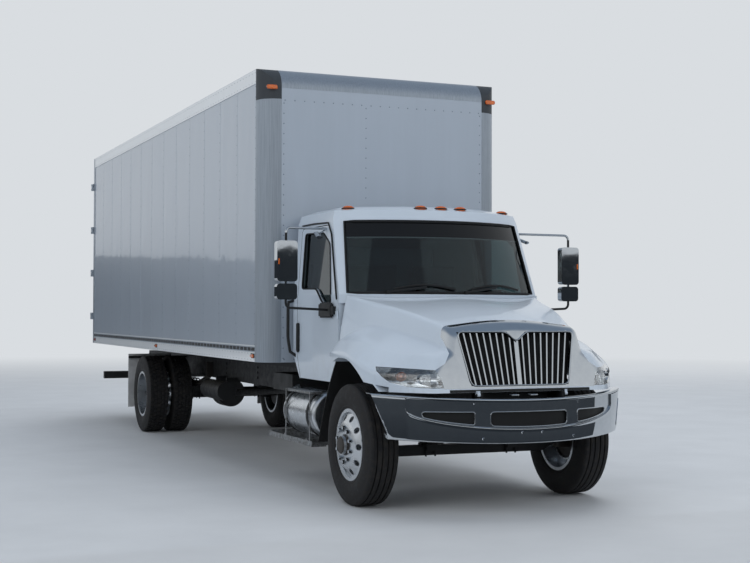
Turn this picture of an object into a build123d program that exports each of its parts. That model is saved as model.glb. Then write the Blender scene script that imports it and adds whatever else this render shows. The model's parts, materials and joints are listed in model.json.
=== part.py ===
# Conventional-cab box truck: a short sloping hood, a day cab, a ladder frame with one
# steered axle and one dual-tyred drive axle, and a riveted van body with rear swing doors.
#
# The truck faces -Y and stands on Z = 0. X is zero on its centre plane and +X is its left side.
# Y is zero half way between the bumper's face and the rear hinges. Sizes are millimetres.
# Every y here is measured rearwards from the front axle, and the planes below add axle_y.
from build123d import *
import math
import os

# Overall layout
wheelbase = 7350
bumper_overhang = 1130
nose_y = 1850
box_length = 8530
rear_pin_out = 37
rear_knuckle_radius = 13
box_rear_y = nose_y + box_length
rear_pin_y = box_rear_y + rear_pin_out
axle_y = -(rear_pin_y + rear_knuckle_radius - bumper_overhang) / 2

# Wheels and tyres
tyre_radius = 510
tyre_width = 280
bead_radius = 286
lip_radius = 302
rim_width = 236
barrel_wall = 11
disc_wall = 12
disc_round = 185
front_centre_x = 1000
disc_offset = 165
front_disc_x = 1140
dual_x = 915
hub_radius = 105
drum_radius = 210
drum_wall = 15
hand_holes = 10
hand_hole_radius = 26
hand_hole_circle = 228
running_gap = 0.3

# Front axle and steering
kingpin_x = 900
kingpin_radius = 22
boss_radius = 46
boss_height = 100
yoke_wall = 40
spindle_radius = 35
beam_z = 440
beam_height = 86
beam_width = 90
front_spring_x = 390
spring_width = 70
backing_radius = 188
backing_wall = 12

# Drive axle
tube_radius = 68
case_radius = 195
pinion_y = 330
rear_spindle_radius = 50
rear_spring_x = 470
rear_spring_width = 80
tube_end_x = 700

# Ladder frame
frame_width = 860
rail_height = 254
rail_flange = 80
rail_wall = 8
rail_top = 1010
rail_front_y = -900
rail_rear_y = 10250
rail_x = frame_width / 2
rail_bottom = rail_top - rail_height
crossmember_top = rail_top - rail_wall
crossmember_bottom = 800
crossmember_width = 80
crossmember_wall = 8
crossmembers_y = (1900, 3100, 4600, 5900, 8650, 10170)
radiator_tie_y = -800
radiator_tie_width = 120
radiator_tie_height = 50
rail_horn = 50
rail_horn_top = 930

# Cab
cab_half = 1000
cab_roof_half = 945
cab_wall = 45
cab_front_y = 545
cab_rear_y = 1760
cab_low = 990
cab_floor = 1045
floor_plate = 40
cowl_low = 1700
cowl_top = 1778
roof_edge = 2470
roof_shoulder = 2545
roof_top = 2585
cowl_centre_y = 185
screen_centre_y = 240
screen_corner_y = 560
roof_centre_y = 470
roof_corner_y = 840
screen_low = 1792
screen_high = 2440
screen_low_half = 930
screen_high_half = 868
glass_wall = 6
glass_gap = 0.3

# Cab doors
door_gap = 8
door_low = 996
door_front_y = 566
door_rear_y = 1635
door_top = 2412
door_depth_x = 860
window_corner = 24
cab_pin_x = 1009
cab_pin_y = 550
cab_pin_radius = 5
cab_knuckle_radius = 10
cab_knuckle_height = 36

# Mirrors
mirror_x = 1440
mirror_y = 705
mirror_tube_radius = 11
head_half = 95
head_front_y = 742
heads = ((1890, 2250, 78), (1730, 1872, 68))

# Hood
hood_wall = 12
hood_low = 985
hood_pin_y = -960
hood_pin_z = 965
hood_pin_x = 395
hood_pin_radius = 10
nose_lean = 0.2
nose_low_y = -945
arch_z = tyre_radius
liner_radius = 735
splash_wall = 12

# Bumper
bumper_half = 1166
bumper_foot_half = 1062
bumper_end_y = -579
bumper_low = 586
bumper_top = 938
bumper_end_top = 974
bumper_wall = 8
bumper_depth = 62

# Van body
box_half = 1295.5
box_low = 1130
box_top = 4010
box_wall = 42
panel_step = 5
corner_radius = 200
bottom_rail = 144
top_rail = 144
floor_top = 1256
floor_board = 40
bearer_width = 50
bearer_pitch = 410
sill_end_y = 9080
roof_sheet = 30
casting_low = 3700
casting_half = 1095
rear_post = 100
rear_header = 180
rear_door_gap = 5
rear_door_wall = 40
rear_door_proud = 5
rear_pin_x = 1318
rear_pin_radius = 7
rear_hinges_z = (1550, 2220, 2890, 3565)
lock_rod_radius = 13
lock_rod_x = 150

# Mud flaps and rear guard
flap_y = 7990
flap_bar = 30
flap_bar_z = 970
flap_inner_x = 640
flap_outer_x = 1250
flap_low = 290
flap_wall = 10
guard_half = 1150
guard_y = 10180
guard_low = 580
guard_high = 690

hands = ((-1, "right"), (1, "left"))
pieces = {}


def section(y):
    """Upright plane across the truck, drawn as X and Z. A positive extrusion runs forward."""
    return Plane(origin=(0, axle_y + y, 0), x_dir=(1, 0, 0), z_dir=(0, -1, 0))


def side(x):
    """Upright plane along the truck, drawn as Y and Z. A positive extrusion runs to +X."""
    return Plane(origin=(x, axle_y, 0), x_dir=(0, 1, 0), z_dir=(1, 0, 0))


def level(z):
    """Flat plane at height z, drawn as X and Y. A positive extrusion runs up."""
    return Plane(origin=(0, axle_y, z), x_dir=(1, 0, 0), z_dir=(0, 0, 1))


def spot(x, y, z):
    """A point given from the front axle."""
    return (x, axle_y + y, z)


def keep(name, shape):
    """Labels a finished piece under its node's name."""
    shape.label = name
    pieces[name] = shape


def block(x_range, y_range, z_range, mode=Mode.ADD):
    """A box between two corners, its X range given for either hand in any order."""
    x_low, x_high = sorted(x_range)
    y_low, y_high = y_range
    z_low, z_high = z_range
    with Locations(spot((x_low + x_high) / 2, (y_low + y_high) / 2, (z_low + z_high) / 2)):
        Box(x_high - x_low, y_high - y_low, z_high - z_low, mode=mode)


def rod(start, end, radius, mode=Mode.ADD):
    """A round bar between two points."""
    low = Vector(*spot(*start))
    high = Vector(*spot(*end))
    with BuildSketch(Plane(origin=low, z_dir=high - low)) as disc:
        Circle(radius)
    extrude(disc.sketch, amount=(high - low).length, mode=mode)


def outline(points, plane, amount, mode=Mode.ADD, corner=0, grow=0):
    """A straight-sided outline on a plane, grown and rounded if asked, and given a thickness."""
    with BuildSketch(plane) as profile:
        with BuildLine():
            Polyline(*points, close=True)
        make_face()
        if grow:
            offset(amount=grow, kind=Kind.INTERSECTION)
        if corner:
            fillet(profile.vertices(), corner)
    extrude(profile.sketch, amount=amount, mode=mode)


def turned(points, y):
    """A closed outline of X and radius, turned about a wheel's axle at the given y."""
    with BuildSketch(Plane(origin=spot(0, y, tyre_radius), x_dir=(1, 0, 0), z_dir=(0, -1, 0))) as profile:
        for outline_points in points:
            with BuildLine():
                Polyline(*outline_points, close=True)
            make_face()
    revolve(profile.sketch, axis=Axis(spot(0, y, tyre_radius), (1, 0, 0)))


def box_points(x_low, x_high, low, high):
    """The corners of a rectangle."""
    return ((x_low, low), (x_high, low), (x_high, high), (x_low, high))


def handed(points, hand):
    """The same outline on the given side of the truck."""
    return [(hand * x, value) for x, value in points]


# Frame: two channel rails with the open side inwards, and the crossmembers between them.
web_x = rail_x - rail_wall
with BuildPart() as frame:
    for hand, _ in hands:
        block((hand * rail_x, hand * (rail_x - rail_flange)), (rail_front_y, rail_rear_y), (rail_bottom, rail_top))
        block(
            (hand * web_x, hand * (rail_x - rail_flange - 1)), (rail_front_y, rail_rear_y),
            (rail_bottom + rail_wall, rail_top - rail_wall), Mode.SUBTRACT,
        )
    for y in crossmembers_y:
        block((-web_x, web_x), (y, y + crossmember_width), (crossmember_bottom, crossmember_top))
        block(
            (-web_x + 2 * rail_wall, web_x - 2 * rail_wall), (y + crossmember_wall, y + crossmember_width),
            (crossmember_bottom + crossmember_wall, crossmember_top - crossmember_wall), Mode.SUBTRACT,
        )
    block(
        (-web_x, web_x), (radiator_tie_y, radiator_tie_y + radiator_tie_width),
        (rail_bottom, rail_bottom + radiator_tie_height),
    )
    for hand, _ in hands:
        block(
            (hand * rail_x, hand * flap_outer_x), (flap_y - flap_bar, flap_y), (flap_bar_z, flap_bar_z + flap_bar)
        )
        horn = (hand * rail_x, hand * (rail_x - 70))
        block(horn, (rail_front_y - rail_horn, rail_front_y), (rail_bottom, rail_horn_top))
        lug = (hand * (hood_pin_x - 35), hand * (hood_pin_x - 15))
        block(lug, (hood_pin_y - 14, rail_front_y), (hood_pin_z - 84, hood_pin_z + 13))
        pin_start = (hand * (hood_pin_x - 20), hood_pin_y, hood_pin_z)
        pin_end = (hand * (hood_pin_x + 22), hood_pin_y, hood_pin_z)
        rod(pin_start, pin_end, hood_pin_radius)
keep("frame", frame.part)

# Front axle: a dropped beam with spring pads and a bored boss for each kingpin.
beam_low = beam_z - beam_height / 2
beam_top = beam_z + beam_height / 2
front_pad_top = beam_top + 12
front_pad_half = 90
beam_end_x = kingpin_x - 20
half_boss = boss_height / 2
with BuildPart() as front_axle:
    outline(
        (
            (-beam_end_x, tyre_radius - 30), (-beam_end_x + 170, beam_low), (beam_end_x - 170, beam_low),
            (beam_end_x, tyre_radius - 30), (beam_end_x, tyre_radius + 40), (beam_end_x - 210, beam_top),
            (-beam_end_x + 210, beam_top), (-beam_end_x, tyre_radius + 40),
        ),
        section(beam_width / 2), beam_width,
    )
    for hand, _ in hands:
        x = hand * kingpin_x
        rod((x, 0, tyre_radius - half_boss), (x, 0, tyre_radius + half_boss), boss_radius)
        pad = (hand * (front_spring_x - 50), hand * (front_spring_x + 50))
        block(pad, (-front_pad_half, front_pad_half), (beam_z, front_pad_top))
    for hand, _ in hands:
        x = hand * kingpin_x
        rod(
            (x, 0, tyre_radius - boss_height), (x, 0, tyre_radius + boss_height),
            kingpin_radius + running_gap, Mode.SUBTRACT,
        )
keep("front_axle", front_axle.part)

# Drive axle: banjo case, tubes, brake backing plates, spindles and spring pads.
rear_pad_top = tyre_radius + tube_radius + 27
rear_pad_half = 120
case_front_y = wheelbase - 170
case_rear_y = wheelbase + 150
nose_radius = 95
with BuildPart() as rear_axle:
    rod((-tube_end_x, wheelbase, tyre_radius), (tube_end_x, wheelbase, tyre_radius), tube_radius)
    rod((0, case_front_y, tyre_radius), (0, case_rear_y, tyre_radius), case_radius)
    rod((0, wheelbase - pinion_y, tyre_radius), (0, case_front_y + 10, tyre_radius), nose_radius)
    for hand, _ in hands:
        rod(
            (hand * tube_end_x, wheelbase, tyre_radius), (hand * (dual_x + 47), wheelbase, tyre_radius),
            rear_spindle_radius,
        )
        plate_x = hand * (tube_end_x - backing_wall)
        rod((plate_x, wheelbase, tyre_radius), (hand * tube_end_x, wheelbase, tyre_radius), backing_radius)
        pad = (hand * (rear_spring_x - 55), hand * (rear_spring_x + 55))
        block(pad, (wheelbase - rear_pad_half, wheelbase + rear_pad_half), (tyre_radius + 20, rear_pad_top))
keep("rear_axle", rear_axle.part)

# Leaf springs: packs that thin out to their eyes, and the hangers that carry them. Each row gives
# the axle's y, the pack's x, width, half-clamp, clamp's height and thickness, the half-length and
# the rise of the eyes, the sag half way out, and the eye's thickness.
spring_rows = (
    (0, front_spring_x, spring_width, front_pad_half, front_pad_top, 50, 640, 160, 50, 15),
    (wheelbase, rear_spring_x, rear_spring_width, rear_pad_half, rear_pad_top, 75, 750, 175, 60, 20),
)
hanger_width = 60
hanger_lap = 20
rear_hanger_top = 960
hanger_top = {front_spring_x: rail_bottom, rear_spring_x: rear_hanger_top}
with BuildPart() as leaf_springs:
    for axle, x, width, clamp, low, thick, reach, rise, sag, eye in spring_rows:
        eye_z = low + rise
        middle_y = (clamp + reach) / 2
        for hand, _ in hands:
            with BuildSketch(side(hand * x - width / 2)) as pack:
                with BuildLine():
                    Line((axle - clamp, low), (axle + clamp, low))
                    Line((axle + clamp, low + thick), (axle - clamp, low + thick))
                    for turn in (-1, 1):
                        inner = axle + turn * clamp
                        outer = axle + turn * reach
                        ThreePointArc((inner, low), (axle + turn * middle_y, low + sag), (outer, eye_z))
                        Line((outer, eye_z), (outer, eye_z + eye))
                        ThreePointArc(
                            (outer, eye_z + eye), (axle + turn * middle_y, low + sag + (thick + eye) / 2),
                            (inner, low + thick),
                        )
                make_face()
            extrude(pack.sketch, amount=width)
            hanger_x = (hand * x - width / 2, hand * x + width / 2)
            for y in (axle - reach - hanger_lap, axle + reach + hanger_lap - hanger_width):
                block(hanger_x, (y, y + hanger_width), (eye_z - 20, hanger_top[x]))
keep("leaf_springs", leaf_springs.part)

# Engine: one plain block on two mounts in the rails.
engine_half = 300
engine_front_y = -560
engine_rear_y = 430
engine_low = 640
engine_top = 1440
mount_half = 60
mount_low = 850
mount_high = 900
with BuildPart() as engine:
    block((-engine_half, engine_half), (engine_front_y, engine_rear_y), (engine_low, engine_top))
    for hand, _ in hands:
        block((hand * engine_half, hand * web_x), (-mount_half, mount_half), (mount_low, mount_high))
keep("engine", engine.part)

# Driveline: the gearbox, two propeller shafts and the hanger of their centre bearing.
clutch_radius = 200
gearbox_radius = 150
gearbox_z = 820
gearbox_y = engine_rear_y + 260
gearbox_end_y = engine_rear_y + 700
output_z = 760
flange_radius = 60
shaft_radius = 45
bearing_y = crossmembers_y[2] + crossmember_width / 2
bearing_z = 690
bearing_radius = 75
with BuildPart() as driveline:
    with BuildSketch(section(engine_rear_y)):
        with Locations((0, gearbox_z)):
            Circle(clutch_radius)
    with BuildSketch(section(gearbox_y)):
        with Locations((0, gearbox_z)):
            Circle(gearbox_radius)
    loft(ruled=True)
    rod((0, gearbox_y, gearbox_z), (0, gearbox_end_y, gearbox_z), gearbox_radius)
    rod((0, gearbox_end_y, output_z), (0, gearbox_end_y + flange_radius, output_z), flange_radius)
    block((-60, 60), (gearbox_end_y - 60, gearbox_end_y), (output_z - 60, output_z + 40))
    rod((0, gearbox_end_y + 40, output_z), (0, bearing_y, bearing_z), shaft_radius)
    rod((0, bearing_y, bearing_z), (0, wheelbase - pinion_y - 20, tyre_radius + 10), shaft_radius)
    rod((0, wheelbase - pinion_y - 40, tyre_radius), (0, wheelbase - pinion_y, tyre_radius), flange_radius)
    rod((0, bearing_y - 40, bearing_z), (0, bearing_y + 40, bearing_z), bearing_radius)
    block((-90, 90), (bearing_y - 25, bearing_y + 25), (bearing_z + 10, crossmember_bottom))
keep("driveline", driveline.part)

# Radiator pack behind the grille, with a fan shroud.
radiator_half = 340
radiator_y = radiator_tie_y + 20
radiator_rear_y = radiator_tie_y + 100
shroud_half = 300
with BuildPart() as radiator:
    block(
        (-radiator_half, radiator_half), (radiator_y, radiator_rear_y), (rail_bottom + radiator_tie_height, 1400)
    )
    block((-shroud_half, shroud_half), (radiator_rear_y, radiator_rear_y + 60), (880, 1380))
keep("radiator", radiator.part)

# Exhaust: a silencer under the left rail with its pipes, on two straps.
exhaust_x = 610
exhaust_z = 620
silencer_radius = 125
silencer_y = (2250, 3350)
pipe_radius = 50
pipe_y = (1950, 4100)
tailpipe_end = (1150, 4560, 560)
exhaust_straps_y = (2400, 3150)
exhaust_strap_z = 730
with BuildPart() as exhaust:
    rod((exhaust_x, silencer_y[0], exhaust_z), (exhaust_x, silencer_y[1], exhaust_z), silencer_radius)
    rod((exhaust_x, pipe_y[0], exhaust_z), (exhaust_x, silencer_y[0] + 10, exhaust_z), pipe_radius)
    rod((exhaust_x, silencer_y[1] - 10, exhaust_z), (exhaust_x, pipe_y[1], exhaust_z), pipe_radius)
    rod((exhaust_x, pipe_y[1], exhaust_z), tailpipe_end, pipe_radius)
    with Locations(spot(exhaust_x, pipe_y[1], exhaust_z)):
        Sphere(pipe_radius)
    for y in exhaust_straps_y:
        width = (y, y + 50)
        block((rail_x, exhaust_x + 20), width, (exhaust_strap_z, exhaust_strap_z + 60))
        block((rail_x, rail_x + 12), width, (exhaust_strap_z, 960))
keep("exhaust", exhaust.part)

# Fuel tank on the right: a round tank with two straps and a filler.
tank_x = -930
tank_z = 690
tank_radius = 210
tank_front_y = 830
tank_rear_y = 1660
tank_edge = 35
strap_width = 50
strap_wall = 4
step_arm_width = 36
step_arms_y = (945, 1540, 1960)
filler_y = 1600
filler_radius = 38
with BuildPart() as fuel_tank:
    rod((tank_x, tank_front_y, tank_z), (tank_x, tank_rear_y, tank_z), tank_radius)
    fillet(fuel_tank.edges().filter_by(GeomType.CIRCLE), tank_edge)
    for y in step_arms_y[:2]:
        start = y - (strap_width - step_arm_width) / 2
        rod((tank_x, start, tank_z), (tank_x, start + strap_width, tank_z), tank_radius + strap_wall)
    rod((tank_x - 60, filler_y, tank_z + 150), (tank_x - 95, filler_y, tank_z + 225), filler_radius)
keep("fuel_tank", fuel_tank.part)

# Battery box on the left beside the cab, and a locker on the right behind it.
battery_x = (640, 1120)
battery_y = (840, 1500)
battery_z = (520, 850)
battery_arms_y = (890, 1400)
battery_arm = 40
locker_x = (rail_x, 900)
locker_y = (2060, 2650)
locker_z = (830, 1000)
with BuildPart() as battery_box:
    block(battery_x, battery_y, battery_z)
    chamfer(battery_box.edges().filter_by(Axis.Y).group_by(Axis.X)[-1], battery_arm)
    for y in battery_arms_y:
        block((rail_x, battery_x[0]), (y, y + battery_arm), (780, 840))
    block((-locker_x[0], -locker_x[1]), locker_y, locker_z)
keep("battery_box", battery_box.part)

# An air reservoir on each rail behind the cab.
reservoir_x = 600
reservoir_z = 640
reservoir_radius = 120
reservoir_y = (5350, 6150)
reservoir_arms_y = (5500, 5950)
with BuildPart() as air_tanks:
    for hand, _ in hands:
        x = hand * reservoir_x
        rod((x, reservoir_y[0], reservoir_z), (x, reservoir_y[1], reservoir_z), reservoir_radius)
        for y in reservoir_arms_y:
            block((hand * rail_x, hand * (reservoir_x - 40)), (y, y + 40), (730, 800))
keep("air_tanks", air_tanks.part)

# Steps under the doors, each on brackets that hook under the tank or the battery box.
step_x = 1150
step_inner_x = 1010
step_low = 412
step_y = (820, 2030)
step_wall = 30
upper_step_x = (1035, 1140)
upper_step_y = (850, 1560)
upper_step_z = (880, 902)
upper_posts_y = (870, 1520)
arm_top = tank_z - tank_radius - strap_wall - running_gap
with BuildPart() as cab_steps:
    for hand, _ in hands:
        block((hand * step_inner_x, hand * step_x), step_y, (step_low, step_low + step_wall))
        block((hand * (step_x - 6), hand * step_x), step_y, (step_low, step_low + step_wall + 20))
        for y in step_arms_y:
            arm_y = (y, y + step_arm_width)
            block((hand * rail_x, hand * step_x), arm_y, (step_low, arm_top))
            block((hand * rail_x, hand * (rail_x + 14)), arm_y, (step_low, 960))
        block((hand * upper_step_x[0], hand * upper_step_x[1]), upper_step_y, upper_step_z)
        for y in upper_posts_y:
            post_y = (y, y + 24)
            block((hand * (step_x - 4), hand * step_x), post_y, (step_low, upper_step_z[1]))
            block((hand * (step_x - 20), hand * step_x), post_y, upper_step_z)
keep("cab_steps", cab_steps.part)

# Splash panels behind the front wheels: curved sheets on an arm from each rail.
splash_x = 620
splash_width = 480
with BuildPart() as splash_panels:
    for hand, _ in hands:
        with BuildSketch(side(hand * splash_x)):
            with BuildLine():
                ThreePointArc((360, 1200), (604, 850), (790, 460))
                Line((790, 460), (790 - splash_wall, 460))
                ThreePointArc((790 - splash_wall, 460), (594, 844), (350, 1194))
                Line((350, 1194), (360, 1200))
            make_face()
        extrude(amount=hand * splash_width)
        block((hand * rail_x, hand * (splash_x + 20)), (600, 625), (800, 840))
keep("splash_panels", splash_panels.part)


def cab_outline(inset, half, corner_y, centre_y, rear_y):
    """The cab's plan at one height: a bowed front, straight sides and a flat back."""
    with BuildLine() as edge:
        ThreePointArc(
            (-half + inset, corner_y + inset), (0, centre_y + inset), (half - inset, corner_y + inset)
        )
        Polyline(
            (half - inset, corner_y + inset), (half - inset, rear_y - inset),
            (-half + inset, rear_y - inset), (-half + inset, corner_y + inset),
        )
    make_face(edge.edges())


def cab_solid(inset, low, cowl_base, top_drop):
    """The cab's outer form, or the space inside it when inset is the wall."""
    with BuildPart() as body:
        block((-cab_half + inset, cab_half - inset), (cab_front_y + inset, cab_rear_y - inset), (low, cowl_top))
        with BuildSketch(level(cowl_base)):
            cab_outline(inset, cab_half, cab_front_y, cowl_centre_y, cab_rear_y)
        extrude(amount=cowl_top - cowl_base)
        with BuildSketch(level(cowl_top)):
            cab_outline(inset, cab_half - 5, screen_corner_y, screen_centre_y, cab_rear_y)
        with BuildSketch(level(roof_edge)):
            cab_outline(inset, cab_roof_half, roof_corner_y, roof_centre_y, cab_rear_y)
        loft(ruled=True)
        with BuildSketch(level(roof_edge)):
            cab_outline(inset, cab_roof_half, roof_corner_y, roof_centre_y, cab_rear_y)
        with BuildSketch(level(roof_shoulder - top_drop)):
            cab_outline(inset, cab_roof_half - 22, roof_corner_y + 20, roof_centre_y + 20, cab_rear_y - 20)
        loft(ruled=True)
        with BuildSketch(level(roof_shoulder - top_drop)):
            cab_outline(inset, cab_roof_half - 22, roof_corner_y + 20, roof_centre_y + 20, cab_rear_y - 20)
        with BuildSketch(level(roof_top - top_drop)):
            cab_outline(
                inset, cab_roof_half - 140, roof_corner_y + 150, roof_centre_y + 150, cab_rear_y - 120
            )
        loft(ruled=True)
    return body.part


def screen_solid(near, far, trim):
    """A bowed sheet in the windscreen's place, between two distances behind the cab's face."""
    with BuildPart() as sheet:
        for z, half, corner_y, centre_y in (
            (screen_low + trim, screen_low_half - trim, screen_corner_y, screen_centre_y),
            (screen_high - trim, screen_high_half - trim, roof_corner_y, roof_centre_y),
        ):
            share = (z - cowl_top) / (roof_edge - cowl_top)
            start_corner = screen_corner_y + share * (roof_corner_y - screen_corner_y)
            start_centre = screen_centre_y + share * (roof_centre_y - screen_centre_y)
            width = cab_half - 5 + share * (cab_roof_half - cab_half + 5)
            radius = (width ** 2 + (start_corner - start_centre) ** 2) / (2 * (start_corner - start_centre))
            edge_y = start_centre + radius - math.sqrt(radius ** 2 - half ** 2)
            with BuildSketch(level(z)):
                with BuildLine():
                    ThreePointArc((-half, edge_y + near), (0, start_centre + near), (half, edge_y + near))
                    Line((half, edge_y + near), (half, edge_y + far))
                    ThreePointArc((half, edge_y + far), (0, start_centre + far), (-half, edge_y + far))
                    Line((-half, edge_y + far), (-half, edge_y + near))
                make_face()
        loft(ruled=True)
    return sheet.part


# Outline of the door and its window, seen from the side and measured from the front axle.
door_outline = (
    (door_front_y, door_low), (door_front_y, 1690), (815, 2290), (935, door_top),
    (door_rear_y - 30, door_top), (door_rear_y, door_top - 30), (door_rear_y, 1200),
    (door_rear_y - 90, door_low),
)
window_outline = (
    (735, 1705), (856, 2240), (1050, 2352), (1530, 2365), (1530, 1840), (1150, 1835), (955, 1705)
)
rear_window_half = 480
rear_window_low = 1860
rear_window_high = 2260

cab_outer = cab_solid(0, cab_low, cowl_low, 0)
cab_inner = cab_solid(cab_wall, cab_floor + floor_plate, cowl_low + cab_wall, 45)
screen_cut = screen_solid(-80, 140, 0)
with BuildPart() as cab_walls:
    add(cab_outer)
    add(cab_inner, mode=Mode.SUBTRACT)
    block(
        (-cab_half + cab_wall, cab_half - cab_wall), (cab_front_y - 1, cab_rear_y + 1),
        (cab_low - 1, cab_floor), Mode.SUBTRACT,
    )
    outline(
        ((1560, cab_low - 5), (cab_rear_y + 5, 1230), (cab_rear_y + 5, cab_low - 5)), side(-cab_half),
        2 * cab_half, Mode.SUBTRACT,
    )
    add(screen_cut, mode=Mode.SUBTRACT)
    block(
        (-rear_window_half, rear_window_half), (cab_rear_y - 2 * cab_wall, cab_rear_y + 5),
        (rear_window_low, rear_window_high), Mode.SUBTRACT,
    )


def door_space(hand, gap):
    """The space of a cab door, grown by a gap, which leaves the cowl's corner to the cab."""
    with BuildPart() as space:
        outline(door_outline, side(hand * door_depth_x), hand * 200, grow=gap)
        block(
            (hand * (door_depth_x - 1), hand * (cab_half - cab_wall - gap)),
            (door_front_y - gap - 1, cab_front_y + 2 * cab_wall), (door_low - gap - 1, cowl_top),
            Mode.SUBTRACT,
        )
    return space.part


with BuildPart() as door_zone:
    for hand, _ in hands:
        add(door_space(hand, door_gap))

# Hinge knuckles: the lower one and its pin stay on the cab, and the upper one turns on it.
door_hinges_z = (1120, 1560)
with BuildPart() as cab_shell:
    add(cab_walls.part)
    add(door_zone.part, mode=Mode.SUBTRACT)
    for hand, _ in hands:
        x = hand * cab_pin_x
        for z in door_hinges_z:
            block((hand * (cab_half - 4), x), (cab_pin_y - 3, cab_pin_y + 10), (z, z + cab_knuckle_height))
            rod((x, cab_pin_y, z), (x, cab_pin_y, z + cab_knuckle_height), cab_knuckle_radius)
            rod((x, cab_pin_y, z), (x, cab_pin_y, z + 2 * cab_knuckle_height), cab_pin_radius)
    for hand, _ in hands:
        block((hand * 500, hand * (rail_x - 60)), (700, 780), (rail_top, cab_floor))
        block((hand * 500, hand * (rail_x - 60)), (1560, 1640), (rail_top, cab_floor))
keep("cab_shell", cab_shell.part)

# Windscreen and rear window.
with BuildPart() as cab_glass:
    add(screen_solid(10, 10 + glass_wall, glass_gap))
    block(
        (-rear_window_half + glass_gap, rear_window_half - glass_gap),
        (cab_rear_y - 25, cab_rear_y - 25 + glass_wall),
        (rear_window_low + glass_gap, rear_window_high - glass_gap),
    )
keep("cab_glass", cab_glass.part)

# Instrument panel across the cab, with a binnacle on the left and the steering column.
wheel_x = 450
dash_front_y = cab_front_y + cab_wall
with BuildPart() as dashboard:
    outline(
        ((dash_front_y, 1330), (780, 1330), (860, 1480), (840, 1640), (760, 1690), (dash_front_y, 1690)),
        side(-cab_half + cab_wall + 15), 2 * (cab_half - cab_wall - 15),
    )
    rod((wheel_x, 780, 1440), (wheel_x, 930, 1560), 32)
keep("dashboard", dashboard.part)

# Seats: a driver's seat on the left and a two-place bench on the right.
seat_floor = cab_floor + floor_plate
with BuildPart() as seats:
    for x_low, x_high in ((-880, 60), (200, 700)):
        block((x_low + 60, x_high - 60), (1230, 1600), (seat_floor, 1330))
        block((x_low, x_high), (1130, 1640), (1330, 1460))
        outline(
            ((1520, 1440), (1640, 1440), (1705, 2080), (1640, 2120), (1590, 2080)), side(x_low), x_high - x_low
        )
keep("seats", seats.part)

# Steering wheel: a thin rim, a hub and three spokes on the column's axis.
column = Vector(0, 150, 120).normalized()
wheel_hub = Vector(*spot(wheel_x, 930, 1560)) + column * 0.4
wheel_plane = Plane(origin=wheel_hub, x_dir=(1, 0, 0), z_dir=column)
steering_rim = 215
with BuildPart() as steering_wheel:
    with BuildSketch(wheel_plane):
        Circle(42)
    extrude(amount=40)
    with BuildSketch(wheel_plane.offset(12)):
        for angle in (0, 180, 270):
            with Locations(Location((0, 0), angle)):
                with Locations((steering_rim / 2, 0)):
                    Rectangle(steering_rim, 30)
    extrude(amount=12)
    rim_origin = wheel_plane.origin + column * 18
    with BuildSketch(Plane(origin=rim_origin, x_dir=(1, 0, 0), z_dir=column.cross(Vector(1, 0, 0)))):
        with Locations((steering_rim, 0)):
            Circle(14)
    revolve(axis=Axis(wheel_plane.origin, column))
keep("steering_wheel", steering_wheel.part)

# Five amber clearance lamps along the front of the roof.
with BuildPart() as roof_lamps:
    for x, y in ((-790, 890), (-200, 600), (0, 590), (200, 600), (790, 890)):
        with BuildSketch(level(roof_shoulder - 6)):
            with Locations((x, y)):
                Ellipse(54, 27)
        extrude(amount=44, taper=12)
    add(cab_outer, mode=Mode.SUBTRACT)
keep("roof_lamps", roof_lamps.part)

# Cab doors: the piece of the cab's wall inside the door's outline, with its window cut.
for hand, word in hands:
    with BuildPart() as cab_door:
        add(door_space(hand, 0))
        add(cab_walls.part, mode=Mode.INTERSECT)
        outline(window_outline, side(hand * door_depth_x), hand * 200, Mode.SUBTRACT, window_corner)
        for z in door_hinges_z:
            low = z + cab_knuckle_height + running_gap
            block(
                (hand * (cab_half - 3), hand * (cab_pin_x - 1)), (door_front_y + 4, door_front_y + 50),
                (low, low + cab_knuckle_height),
            )
            block(
                (hand * (cab_half + 1), hand * (cab_pin_x - 1)), (cab_pin_y, door_front_y + 50),
                (low, low + cab_knuckle_height),
            )
            x = hand * cab_pin_x
            rod((x, cab_pin_y, low), (x, cab_pin_y, low + cab_knuckle_height), cab_knuckle_radius - 2)
            high = low + cab_knuckle_height
            bore = cab_pin_radius + running_gap
            rod((x, cab_pin_y, low - 1), (x, cab_pin_y, high + 1), bore, Mode.SUBTRACT)
        block((hand * (cab_half - 3), hand * (cab_half + 26)), (1575, 1600), (1250, 1505))
    keep("cab_door_" + word, cab_door.part)

    with BuildPart() as pane:
        outline(
            window_outline, side(hand * door_depth_x), hand * 200,
            corner=window_corner - glass_gap, grow=-glass_gap,
        )
        add(cab_solid(20, cab_low, cowl_low, 20), mode=Mode.INTERSECT)
        add(cab_solid(26, cab_low, cowl_low, 26), mode=Mode.SUBTRACT)
    keep("door_glass_" + word, pane.part)

# Mirrors: a bent tube from the door's top to its waist, a tall head and a wide-angle head.
for hand, word in hands:
    with BuildPart() as mirror:
        x = hand * mirror_x
        with BuildLine() as tube_path:
            FilletPolyline(
                spot(hand * 938, 992, 2386), spot(x, mirror_y, 2365), spot(x, mirror_y, 1660),
                spot(hand * (cab_half + 12), mirror_y + 55, 1640), radius=45,
            )
        with BuildSketch(Plane(origin=tube_path.line @ 0, z_dir=tube_path.line % 0)):
            Circle(mirror_tube_radius)
        sweep()
        for low, high, depth in heads:
            outline(
                handed(box_points(mirror_x - head_half, mirror_x + head_half, low, high), hand),
                section(head_front_y), depth, corner=30,
            )
        block((hand * (cab_half - 5), hand * (cab_half + 30)), (620, 980), (1600, 1672))
        add(cab_outer, mode=Mode.SUBTRACT)
    keep("mirror_" + word, mirror.part)

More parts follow.
